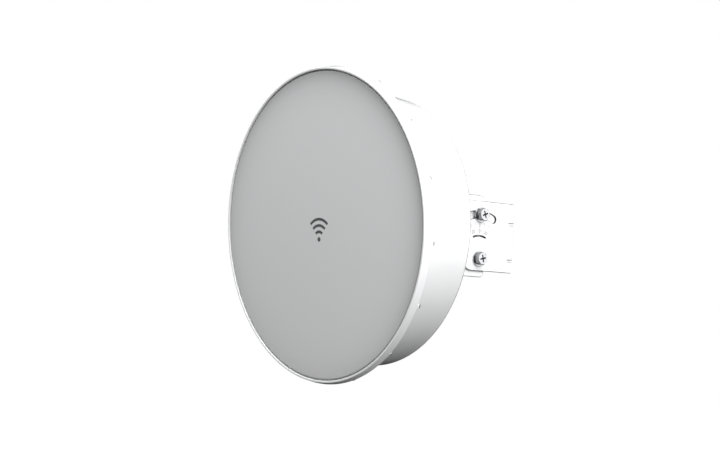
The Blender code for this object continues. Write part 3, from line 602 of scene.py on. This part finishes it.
def make_drum():
    """Tapered drum, its front cut along the rim's plane, with a painted shade line round its rolled rear."""
    rear = SHROUD_REAR_DEEP + SHROUD_EDGE
    edge_centre = (SHROUD_REAR_RADIUS - SHROUD_EDGE, SHROUD_REAR_DEEP)
    outer_edge = arc(edge_centre, SHROUD_EDGE, math.pi / 2, 0, 12)
    inner_edge = arc(edge_centre, SHROUD_EDGE - SHROUD_WALL, 0, math.pi / 2, 8)
    to_rim = RIM_PLANE.inverted() @ DISH_AXIS
    runs = 10
    shape = bmesh.new()
    columns = []
    for i in range(FINE_TURN):
        turn = 2 * math.pi * i / FINE_TURN
        way = Vector((math.cos(turn), math.sin(turn), 0))
        fronts = []
        for start in (SHROUD_REAR_RADIUS, SHROUD_REAR_RADIUS - SHROUD_WALL):
            near = way * start + Vector((0, 0, SHROUD_REAR_DEEP))
            far = way * (start + SHROUD_TAPER * SHROUD_REAR_DEEP)
            low, high = (to_rim @ near).z, (to_rim @ far).z
            fronts.append((near, near.lerp(far, (SHROUD_TRIM - low) / (high - low))))
        (outer_near, outer_far), (inner_near, inner_far) = fronts
        points = [way * SHROUD_FLANGE_BORE + Vector((0, 0, rear))]
        points += [way * r + Vector((0, 0, d)) for r, d in outer_edge]
        points += [outer_near.lerp(outer_far, n / runs) for n in range(1, runs + 1)]
        points += [inner_far.lerp(inner_near, n / runs) for n in range(runs)]
        points += [way * r + Vector((0, 0, d)) for r, d in inner_edge]
        points.append(way * SHROUD_FLANGE_BORE + Vector((0, 0, rear - SHROUD_WALL)))
        columns.append([shape.verts.new(p) for p in points])
    for first, second in zip(columns, columns[1:] + columns[:1]):
        for n in range(len(first)):
            m = (n + 1) % len(first)
            shape.faces.new((first[n], first[m], second[m], second[n]))
    mesh = tidy(mesh_of(shape, "drum"))
    # Painted shade: a narrow band on the outside of the rolled rear edge takes the dark second material.
    for face in mesh.polygons:
        out = face.center.xy.length - edge_centre[0]
        back = face.center.z - edge_centre[1]
        on_outside = math.hypot(out, back) > SHROUD_EDGE - 0.0002
        if on_outside and 22 < math.degrees(math.atan2(back, out)) < 31:
            face.material_index = 1
    mesh.transform(DISH_AXIS)
    piece("drum_shell", mesh, "head", "white_plastic", "shroud", edge=(PAINTED_EDGE_SHADE,))


def make_reflector():
    """Parabolic bowl with a flat flange, open in the middle for the feed."""
    rings = 24
    flange = SHROUD_REAR_DEEP + SHROUD_EDGE - SHROUD_WALL - GAP - DISH_SHEET
    vertex = flange + DISH_RADIUS ** 2 / (4 * DISH_FOCAL)
    radii = [DISH_HOLE + (DISH_RADIUS - DISH_HOLE) * i / rings for i in range(rings + 1)]
    depths = [vertex - r ** 2 / (4 * DISH_FOCAL) for r in radii]
    profile = [(r, d + DISH_SHEET) for r, d in zip(radii, depths)]
    profile += [(DISH_FLANGE_RADIUS, depths[-1] + DISH_SHEET), (DISH_FLANGE_RADIUS, depths[-1])]
    profile += [(r, d) for r, d in zip(reversed(radii), reversed(depths))]
    piece("reflector_bowl", lathe(profile, DISH_AXIS, 192), "head", "coated_aluminium", "reflector_dish")


# ---------------------------------------------------------------- hub

def make_hub_housing():
    """A cup with a nose through the dish, screw posts inside, and a port boss with door lugs below."""
    bore = HUB_RADIUS - HUB_WALL
    floor = HUB_FRONT + HUB_WALL
    nose_bore = NOSE_RADIUS - HUB_WALL
    nose_floor = NOSE_FRONT + 0.003
    tube_hole = FEED_RADIUS + GAP
    housing = lathe(rounded([
        (HUB_RADIUS, HUB_REAR, 0), (HUB_RADIUS, HUB_FRONT, 0.002), (NOSE_RADIUS, HUB_FRONT, 0),
        (NOSE_RADIUS, NOSE_FRONT, 0), (tube_hole, NOSE_FRONT, 0), (tube_hole, nose_floor, 0),
        (nose_bore, nose_floor, 0), (nose_bore, floor, 0), (bore, floor, 0), (bore, HUB_REAR, 0)]),
        DISH_AXIS)
    boss = block((-BOSS_HALF, deep(BOSS_FRONT), up(-BOSS_DROP)),
                 (BOSS_HALF, deep(HUB_REAR), up(-BOSS_TOP_DROP)))
    housing = combined(housing, boss, "UNION")
    hollow = lathe([(0, HUB_REAR + 0.004), (bore, HUB_REAR + 0.004), (bore, floor), (0, floor)], DISH_AXIS)
    housing = combined(housing, hollow)
    for x, z in HUB_POSTS:
        post = rod((x, deep((floor + HUB_REAR) / 2 - 0.0005), up(z)), "Y", HUB_REAR - floor, POST_RADIUS, 24)
        housing = combined(housing, post, "UNION")
    for side in (-1, 1):
        middle = side * (DOOR_HALF - LUG_HALF)
        lug = block((middle - LUG_HALF, deep(DOOR_AXIS_DEEP - LUG_REACH), up(-DOOR_AXIS_DROP - LUG_REACH)),
                    (middle + LUG_HALF, deep(DOOR_AXIS_DEEP + LUG_REACH), up(-BOSS_DROP + 0.002)))
        housing = combined(housing, lug, "UNION")
    cuts = [block((-PORT_HALF, deep(PORT_FRONT), up(-0.060)), (PORT_HALF, deep(PORT_REAR), up(-0.030))),
            rod((BUTTON_X, deep(BUTTON_DEEP), up(-0.045)), "Z", 0.030, BUTTON_RADIUS + GAP),
            rod((0, deep(DOOR_AXIS_DEEP), up(-DOOR_AXIS_DROP)), "X", 0.04, DOOR_PIN_RADIUS + GAP, 20)]
    cuts += [rod((LENS_X, deep(at), up(-0.045)), "Z", 0.030, LENS_RADIUS + GAP, 20) for at in LENS_DEEPS]
    cuts += [rod((x, deep(HUB_REAR), up(z)), "Y", 0.024, COVER_SCREW_RADIUS + GAP, 20) for x, z in HUB_POSTS]
    for cut in cuts:
        housing = combined(housing, cut)
    piece("hub_shell", eased(housing, 0.0004, 2), "head", "white_plastic", "hub_housing")


def make_hub_cover():
    """The hub's rear disc, thick in the middle, where the bracket's screws go in."""
    seal_radius, seal_seat, pad_radius = 0.0388, COVER_SEAT - 0.0008, 0.0270
    cover = lathe(rounded([
        (0, COVER_REAR, 0), (HUB_RADIUS, COVER_REAR, 0.001), (HUB_RADIUS, COVER_SEAT, 0),
        (seal_radius, COVER_SEAT, 0), (seal_radius, seal_seat, 0), (pad_radius, seal_seat, 0),
        (pad_radius, PAD_FRONT, 0), (0, PAD_FRONT, 0)], closed=False), DISH_AXIS)
    for x, z in BRACKET_SCREWS:
        cover = combined(cover, rod((x, deep(0.155), up(z)), "Y", 0.020, BRACKET_SCREW_RADIUS + GAP))
    for x, z in HUB_POSTS:
        cover = combined(cover, rod((x, deep(0.155), up(z)), "Y", 0.020, COVER_SCREW_RADIUS + GAP, 24))
        cover = combined(cover, rod((x, deep(COVER_REAR + 0.001), up(z)), "Y", 0.006, 0.0031))
    piece("hub_back", eased(cover, 0.0003, 2), "head", "coated_aluminium", "hub_cover")


def make_port_door():
    """The flap over the network port, closed, with its knuckle between the housing's lugs."""
    half = DOOR_THICKNESS / 2
    hinge_side, free_side = 0.0036, 0.0200
    knuckle_half = DOOR_HALF - 2 * LUG_HALF - GAP
    outline = rounded([(-DOOR_HALF, hinge_side, 0.0006), (DOOR_HALF, hinge_side, 0.0006),
                       (DOOR_HALF, free_side, 0.0022), (-DOOR_HALF, free_side, 0.0022)])
    flap = slab([outline], -half, half)
    flap = combined(flap, block((-knuckle_half, 0, -half), (knuckle_half, 0.0045, half)), "UNION")
    flap = combined(flap, rod((0, 0, 0), "X", 2 * knuckle_half, 0.0018), "UNION")
    flap = combined(flap, rod((0, 0, 0), "X", 0.04, DOOR_PIN_RADIUS + GAP, 20))
    place = Matrix.Translation((0, deep(DOOR_AXIS_DEEP), up(-DOOR_AXIS_DROP)))
    piece("port_flap", moved(eased(flap, 0.0003, 2), place), "door", "white_plastic", "port_door")


# ---------------------------------------------------------------- brackets

def shade_slots_and_insides(mesh, slots):
    """Walls of the arc slots, as (radius, width, travel), take a painted shadow; faces turned inward take a
    painted inner shade.
    """
    for face in mesh.polygons:
        y, z = face.center.y - PIVOT_Y, face.center.z - PIVOT_Z
        turn = abs(math.atan2(y, z))
        for radius, width, travel in slots:
            margin = width / 2 + 0.0004
            near = abs(math.hypot(y, z) - radius) < margin and turn < travel + margin / radius
            if near and abs(face.normal.x) < 0.7:
                face.material_index = 2
        if face.normal.x * face.center.x < -0.7 * abs(face.center.x):
            face.material_index = 3
    return mesh


def make_inner_bracket():
    """The channel on the hub's back, with round holes for the four bolts and a slot under the scale."""
    web_at, ends_at, top, bottom = deep(COVER_REAR + GAP), -0.0445, 0.053, -0.0432
    bend_at, web_top, web_bottom = -0.092, 0.040, -0.034
    slot = (SCALE_SLOT_RADIUS, SCALE_SLOT_WIDTH + 0.0008, SCALE_SLOT_TRAVEL)
    bracket = slab([channel(DISH_BRACKET_HALF, web_at, ends_at)], bottom - 0.002, top + 0.002)
    side = rounded([(web_at - 0.002, web_bottom, 0), (web_at + 0.001, web_bottom, 0.003),
                    (bend_at, bottom, 0.012), (ends_at, bottom, 0.006), (ends_at - 0.0025, top, 0.011),
                    (bend_at, top, 0.012), (web_at + 0.001, web_top, 0.003), (web_at - 0.002, web_top, 0)])
    holes = [circle(PIVOT, BOLT_HOLE), circle((PIVOT_Y, PIVOT_Z + SLOT_RADIUS), BOLT_HOLE),
             curved_slot(PIVOT, *slot)]
    bracket = combined(bracket, slab([side] + holes, -0.04, 0.04, ALONG_X), "INTERSECT")
    for x, z in BRACKET_SCREWS:
        bracket = combined(bracket, rod((x, web_at, up(z)), "Y", 0.02, BRACKET_SCREW_RADIUS + GAP))
    # The rounded edges, slot walls and inward faces take painted shade.
    bracket = shade_slots_and_insides(eased(bracket, 0.0007, 3, dark=True), [slot])
    piece("inner_bracket", bracket, "head", "white_paint", "dish_bracket",
          edge=(PAINTED_EDGE_SHADE, PAINTED_SHADOW, PAINTED_INNER_SHADE))


def make_outer_bracket():
    """The channel for the mast, with the tilt slots, bend reliefs beside its web and four mast holes."""
    top, bottom, front, toe = 0.0463, -0.0360, -0.092, -0.078
    bracket = slab([channel(POLE_BRACKET_HALF, 0.0, front - 0.002)], bottom - 0.002, top + 0.002)
    side = rounded([(toe, bottom, 0.015), (0.002, bottom, 0.0065), (0.002, top, 0.0065),
                    (front, top, 0.0127), (front, 0.002, 0.010)], 12)
    holes = [circle(PIVOT, BOLT_HOLE), curved_slot(PIVOT, SLOT_RADIUS, 2 * BOLT_HOLE, SLOT_TRAVEL),
             curved_slot(PIVOT, SCALE_SLOT_RADIUS, SCALE_SLOT_WIDTH - 0.0009, SCALE_SLOT_TRAVEL - 0.02)]
    bracket = combined(bracket, slab([side] + holes, -0.05, 0.05, ALONG_X), "INTERSECT")
    inside = POLE_BRACKET_HALF - SHEET
    relief_top = WEB_HALF + RELIEF
    for low, high in ((relief_top, 0.06), (-0.06, -relief_top)):
        bracket = combined(bracket, block((-inside, -0.012, low), (inside, 0.01, high)))
    for low, high in ((WEB_HALF, relief_top + 0.00001), (-relief_top - 0.00001, -WEB_HALF)):
        relief = rounded([(-RELIEF_LENGTH, low, 0.0022), (0.01, low, 0), (0.01, high, 0),
                          (-RELIEF_LENGTH, high, 0.0004)])
        bracket = combined(bracket, slab([relief], -0.04, 0.04, ALONG_X))
    for x, z in MAST_HOLES:
        bracket = combined(bracket, rod((x, 0, z), "Y", 0.02, MAST_HOLE_RADIUS))
    # The rounded edges, slot walls and inward faces take painted shade.
    bracket = shade_slots_and_insides(eased(bracket, 0.0007, 3, dark=True),
                         [(SLOT_RADIUS, 2 * BOLT_HOLE, SLOT_TRAVEL),
                          (SCALE_SLOT_RADIUS, SCALE_SLOT_WIDTH, SCALE_SLOT_TRAVEL)])
    piece("outer_bracket", bracket, "pole_mount", "white_paint", "pole_bracket",
          edge=(PAINTED_EDGE_SHADE, PAINTED_SHADOW, PAINTED_INNER_SHADE))


def lettering(text, height):
    """Digits as a thin flat mesh centred on the origin, lying in XY."""
    curve = bpy.data.curves.new("digits", "FONT")
    curve.body = text
    curve.size = height * 1.4
    curve.align_x = "CENTER"
    curve.align_y = "CENTER"
    curve.extrude = INK_THICKNESS / 2
    curve.offset = height * 0.02
    return evaluated(in_scene("digits", curve))


def make_scale():
    """Tilt scale printed on the right side plate: ticks and degrees about the pivot."""
    half_ink = INK_THICKNESS / 2
    half_tick = 0.00035
    ticks_end = 0.0425
    digits_at = Matrix.Translation((0, 0.0320, 0))
    pivot = Matrix.Translation((POLE_BRACKET_HALF + half_ink, PIVOT_Y, PIVOT_Z)) @ ALONG_X
    marks = []
    for degrees, start in ((-20, 0.0370), (-10, 0.0395), (0, 0.0355), (10, 0.0395), (20, 0.0370)):
        turn = Matrix.Rotation(math.radians(-degrees), 4, "Z")
        tick = block((-half_tick, start, -half_ink), (half_tick, ticks_end, half_ink))
        marks.append(moved(tick, pivot @ turn))
    for degrees, text in ((-18, "20"), (0, "0"), (18, "20")):
        turn = Matrix.Rotation(math.radians(-degrees), 4, "Z")
        marks.append(moved(lettering(text, 0.0042), pivot @ turn @ digits_at))
    piece("tilt_scale", joined(*marks), "pole_mount", None, surface=SCALE_INK)


# ---------------------------------------------------------------- fasteners

def hexagon(height, chamfer, both_ends):
    """A hexagonal prism on Z = 0 with its corners turned down at the top, and at the bottom for a nut."""
    across = HEX_FLATS / math.sqrt(3)
    prism = rod((0, 0, height / 2), "Z", height, across, 6)
    inner = HEX_FLATS / 2 * 0.97
    low = [(inner, 0), (across + 0.0001, chamfer)] if both_ends else [(across + 0.0001, 0)]
    cone = lathe([(0, 0)] + low + [(across + 0.0001, height - chamfer), (inner, height), (0, height)],
                 segments=72)
    return combined(prism, cone, "INTERSECT")


def cross_recess(reach, half, top, depth):
    """A plus-shaped bar on Z, to cut the driver's recess."""
    quarter = [(reach, -half), (reach, half), (half, half)]
    outline = []
    for _ in range(4):
        outline += quarter
        quarter = [(-y, x) for x, y in quarter]
    return slab([outline], top - depth, top + 0.001)


def make_bolt_mesh():
    """Hexagon head, its sides in material 1, a darker zinc painted as shade, and its cross recess in
    material 2, a painted shadow, on a threaded shank.
    """
    reach = BOLT_GRIP + NUT + 0.0015
    plain, thread_depth, end_taper = 0.0035, 0.0006, 0.0008
    profile = [(0, 0.0005), (BOLT_RADIUS, 0.0005), (BOLT_RADIUS, -plain)]
    for i in range(int((reach - 0.004) / BOLT_PITCH)):
        top = -plain - i * BOLT_PITCH
        profile += [(BOLT_RADIUS - thread_depth, top - BOLT_PITCH / 2), (BOLT_RADIUS, top - BOLT_PITCH)]
    profile += [(BOLT_RADIUS - end_taper, -reach), (0, -reach)]
    shank = lathe(profile, segments=32)

    head = hexagon(BOLT_HEAD, 0.0009, False)
    head = combined(head, cross_recess(0.0044, 0.0010, BOLT_HEAD, 0.0028))
    head = eased(head, 0.00018, 2, 25.0)
    # Painted shade: the head's sides and chamfer take the darker zinc, and the recess takes the painted
    # shadow.
    for face in head.polygons:
        out = face.center.xy.length
        if out > 0.0056 and abs(face.normal.z) < 0.97:
            face.material_index = 1
        elif out < 0.0050 and 0.001 < face.center.z < BOLT_HEAD - 0.0005:
            face.material_index = 2
    return joined(head, shank)


def make_washer_mesh(ease):
    """A flat ring with its outer edges rounded."""
    inner = BOLT_RADIUS + GAP
    profile = [(WASHER_RADIUS, 0, ease), (WASHER_RADIUS, WASHER, ease), (inner, WASHER, 0), (inner, 0, 0)]
    return lathe(rounded(profile, 4), segments=48)


def make_spring_mesh():
    """One turn of square wire with its cut ends a little apart."""
    inner, outer, thick, rise = BOLT_RADIUS + GAP, SPRING_RADIUS, WASHER - 0.0002, 0.0002
    steps, opening = 56, math.radians(9)
    shape = bmesh.new()
    rings = []
    for i in range(steps + 1):
        share = i / steps
        turn = opening / 2 + (2 * math.pi - opening) * share
        low = rise * share
        rings.append([shape.verts.new((r * math.cos(turn), r * math.sin(turn), z))
                      for r, z in ((inner, low), (outer, low), (outer, low + thick), (inner, low + thick))])
    for first, second in zip(rings, rings[1:]):
        for n in range(4):
            m = (n + 1) % 4
            shape.faces.new((first[n], first[m], second[m], second[n]))
    shape.faces.new(rings[0])
    shape.faces.new(rings[-1])
    return eased(tidy(mesh_of(shape, "spring")), 0.00012, 2)


def make_nut_mesh():
    """Hexagon nut, plain inside, with its corners turned down at both ends."""
    body = hexagon(NUT, 0.0008, True)
    body = combined(body, rod((0, 0, NUT / 2), "Z", 2 * NUT, BOLT_RADIUS + GAP))
    return eased(body, 0.00015, 2, 25.0)


def make_screw_mesh(head_radius, head, shank_radius, shank):
    """Pan-head screw with a cross recess and a coarse thread, its head above Z = 0."""
    profile = rounded([(0, head, 0), (0.62 * head_radius, head, 0.4 * head),
                       (head_radius, 0.35 * head, 0.3 * head), (head_radius, 0, 0), (0, 0, 0)],
                      6, closed=False)
    top = lathe(profile, segments=48)
    top = combined(top, cross_recess(0.55 * head_radius, 0.11 * head_radius, head, 0.6 * head))
    pitch = 0.3 * shank_radius
    thread = [(0, 0), (shank_radius, 0)]
    for i in range(int((shank - 0.001) / pitch)):
        thread += [(0.82 * shank_radius, -(i + 0.5) * pitch), (shank_radius, -(i + 1) * pitch)]
    thread += [(0.6 * shank_radius, -shank), (0, -shank)]
    return joined(top, lathe(thread, segments=24))


def make_joint_fasteners():
    """Washer, spring washer, bolt and nut of the pivot and of the tilt lock, on both sides."""
    outside = POLE_BRACKET_HALF + GAP
    kinds = {
        "washer": (make_washer_mesh(0.00035), outside),
        "spring_washer": (make_spring_mesh(), outside + WASHER + GAP),
        "bolt": (make_bolt_mesh(), outside + 2 * (WASHER + GAP)),
        "nut": (make_nut_mesh(), DISH_BRACKET_HALF - SHEET - GAP - NUT),
    }
    for joint, height, body, spin in (("pivot", PIVOT_Z, "pole_mount", 14.0),
                                      ("tilt", PIVOT_Z + SLOT_RADIUS, "head", 21.0)):
        for side, turn in (("right", 0), ("left", math.pi)):
            middle = Matrix.Translation((0, PIVOT_Y, height)) @ Matrix.Rotation(turn, 4, "Z") @ ALONG_X
            for kind, (mesh, distance) in kinds.items():
                place = middle @ Matrix.Translation((0, 0, distance))
                if kind in ("bolt", "spring_washer"):
                    place = place @ Matrix.Rotation(math.radians(spin), 4, "Z")
                node = f"{joint}_{kind}_{side}"
                # Spring washers are wholly the darker zinc, as painted shade under the heads; the bolts'
                # sides and recesses carry painted shade too.
                piece(f"{node}_detail", moved(mesh, place), body, "zinc", node, sharp=28.0,
                      surface=SHADED_ZINC if kind == "spring_washer" else None, edge=(SHADED_ZINC, PAINTED_SHADOW))


def make_screws(name, mesh, places):
    """A detailed screw in place of each numbered node of that name."""
    for i, place in enumerate(places):
        node = f"{name}_{i + 1}"
        piece(f"{node}_detail", moved(mesh, place), "head", "zinc", node)


def make_all_screws():
    """Screws of the reflector's flange, the hub's cover and the bracket's web."""
    flange_rear = SHROUD_REAR_DEEP + SHROUD_EDGE + GAP
    places = []
    for i in range(DISH_SCREWS):
        turn = 2 * math.pi * (i + 0.5) / DISH_SCREWS
        x, y = DISH_SCREW_CIRCLE * math.cos(turn), DISH_SCREW_CIRCLE * math.sin(turn)
        places.append(DISH_AXIS @ Matrix.Translation((x, y, flange_rear))
                      @ Matrix.Rotation(turn * 1.7, 4, "Z"))
    make_screws("reflector_screw", make_screw_mesh(0.0032, 0.0022, 0.0016, 0.006), places)

    places = [Matrix.Translation((x, deep(COVER_REAR - 0.002 + GAP), up(z))) @ ALONG_Y for x, z in HUB_POSTS]
    make_screws("cover_screw", make_screw_mesh(0.0028, 0.0015, COVER_SCREW_RADIUS, 0.011), places)

    web_rear = COVER_REAR + SHEET + 2 * GAP
    places = [Matrix.Translation((x, deep(web_rear), up(z))) @ ALONG_Y for x, z in BRACKET_SCREWS]
    make_screws("bracket_screw", make_screw_mesh(0.0046, 0.0032, BRACKET_SCREW_RADIUS, 0.0105), places)


# ---------------------------------------------------------------- carried-over nodes

def finish_nodes():
    """CAD nodes that stay: eased edges and the same procedural finishes."""
    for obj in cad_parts.values():
        if obj.hide_render:
            continue
        for held in obj.material_slots:
            held.material = SURFACES[held.material.name.split(".")[0]]
        obj.data.shade_smooth()
        obj.data.set_sharp_from_angle(angle=math.radians(35))
        ease = obj.modifiers.new("eased", "BEVEL")
        ease.width = 0.00012
        ease.segments = 2
        ease.limit_method = "ANGLE"
        ease.angle_limit = math.radians(50)


make_front()
make_glyph()
make_drum()
make_reflector()
make_hub_housing()
make_hub_cover()
make_port_door()
make_inner_bracket()
make_outer_bracket()
make_scale()
make_joint_fasteners()
make_all_screws()
finish_nodes()


# ---------------------------------------------------------------- camera, floor, light

def make_camera():
    """A long lens in front of the antenna, on the right and a little below its axis."""
    lens = bpy.data.cameras.new("camera")
    lens.lens = 85
    lens.sensor_width = 36
    lens.shift_x = 0.056
    lens.clip_end = 50
    camera = in_scene("camera", lens)
    distance = 1.888
    target = Vector((0, RADOME_Y, AXIS_Z + RIM_RISE))
    back = Vector((0.7842, -0.6188, -0.0454)).normalized()
    right = Vector((0.6205, 0.7821, 0.0574)).normalized()
    rise = back.cross(right)
    place = target + distance * back
    camera.matrix_world = Matrix((
        (right.x, rise.x, back.x, place.x), (right.y, rise.y, back.y, place.y),
        (right.z, rise.z, back.z, place.z), (0, 0, 0, 1)))
    bpy.context.scene.camera = camera


def make_floor():
    """A plain pale floor, well below the antenna, that throws no light back on it."""
    half, height = 12, -1.1
    corners = [(-half, -half, height), (half, -half, height), (half, half, height), (-half, half, height)]
    mesh = bpy.data.meshes.new("floor")
    mesh.from_pydata(corners, [], [(0, 1, 2, 3)])
    mesh.materials.append(finish("pale_floor", (0.93, 0.93, 0.93), 0.9, grain=0.05, grain_size=0.05,
                                 mottle=0.005, mottle_size=0.4))
    floor = in_scene("floor", mesh)
    floor.visible_diffuse = False
    floor.visible_glossy = False


def curve_of(tree, source, stops):
    """A grey ramp over a value from -1 to 1."""
    share = node_of(tree, "ShaderNodeMapRange", From_Min=-1.0)
    ramp = node_of(tree, "ShaderNodeValToRGB")
    marks = ramp.color_ramp.elements
    while len(marks) < len(stops):
        marks.new(0.5)
    for mark, (position, level) in zip(marks, stops):
        mark.position = (position + 1) / 2
        mark.color = (level, level, level, 1.0)
    tree.links.new(source, share.inputs["Value"])
    tree.links.new(share.outputs["Result"], ramp.inputs["Fac"])
    return ramp.outputs["Color"]


def make_world():
    """A studio lit from above and the right, dim below, in front and behind.

    Reflections see a dimmer room with one bright panel, and the camera sees plain white.
    """
    room_strength, reflected_room, reflected_panel = 3.75, 1.3, 1.3
    panel_way = (0.784, 0.619, 0.045)
    world = bpy.data.worlds.new("studio")
    bpy.context.scene.world = world
    world.use_nodes = True
    tree = world.node_tree
    tree.nodes.clear()
    link = tree.links.new
    place = node_of(tree, "ShaderNodeTexCoord")
    split = node_of(tree, "ShaderNodeSeparateXYZ")
    link(place.outputs["Generated"], split.inputs[0])
    height = curve_of(tree, split.outputs["Z"], ((-1.0, 0.075), (-0.12, 0.085), (0.12, 1.0), (1.0, 1.0)))
    depth = curve_of(tree, split.outputs["Y"], ((-1.0, 0.33), (-0.56, 0.37), (-0.36, 1.0), (0.30, 1.0),
                                                (0.65, 0.30), (1.0, 0.25)))
    side = curve_of(tree, split.outputs["X"], ((-1.0, 0.40), (-0.6, 0.45), (0.3, 1.0), (1.0, 1.0)))
    seen = node_of(tree, "ShaderNodeLightPath")
    strength = node_of(tree, "ShaderNodeMapRange", To_Min=room_strength, To_Max=reflected_room)
    link(seen.outputs["Is Glossy Ray"], strength.inputs["Value"])
    room = product(tree, height, depth, side, strength.outputs["Result"])

    toward = node_of(tree, "ShaderNodeVectorMath", {"operation": "DOT_PRODUCT"})
    toward.inputs[1].default_value = panel_way
    link(place.outputs["Generated"], toward.inputs[0])
    panel = curve_of(tree, toward.outputs["Value"], ((-1.0, 0.0), (0.90, 0.0), (0.96, 1.0), (1.0, 1.0)))
    total = node_of(tree, "ShaderNodeMath", {"operation": "MULTIPLY_ADD"})
    total.inputs[1].default_value = reflected_panel
    link(product(tree, seen.outputs["Is Glossy Ray"], panel), total.inputs[0])
    link(room, total.inputs[2])

    sky = node_of(tree, "ShaderNodeBackground", Color=(1.0, 1.0, 1.0, 1.0))
    white = node_of(tree, "ShaderNodeBackground", Color=(1.0, 1.0, 1.0, 1.0), Strength=1.0)
    pick = node_of(tree, "ShaderNodeMixShader")
    out = node_of(tree, "ShaderNodeOutputWorld")
    link(total.outputs[0], sky.inputs["Strength"])
    link(seen.outputs["Is Camera Ray"], pick.inputs["Fac"])
    link(sky.outputs[0], pick.inputs[1])
    link(white.outputs[0], pick.inputs[2])
    link(pick.outputs[0], out.inputs["Surface"])


def make_key_light():
    """A large soft panel above the antenna on the right, aimed at the origin."""
    panel = bpy.data.lights.new("key_light", "AREA")
    panel.shape = "RECTANGLE"
    panel.size = 1.4
    panel.size_y = 1.0
    panel.energy = 8
    lamp = in_scene("key_light", panel)
    lamp.location = (2.2, -0.6, 1.5)
    lamp.rotation_euler = (-lamp.location).to_track_quat("-Z", "Y").to_euler()


make_camera()
make_floor()
make_world()
make_key_light()
scene = bpy.context.scene
scene.view_settings.view_transform = "Standard"
scene.view_settings.look = "None"
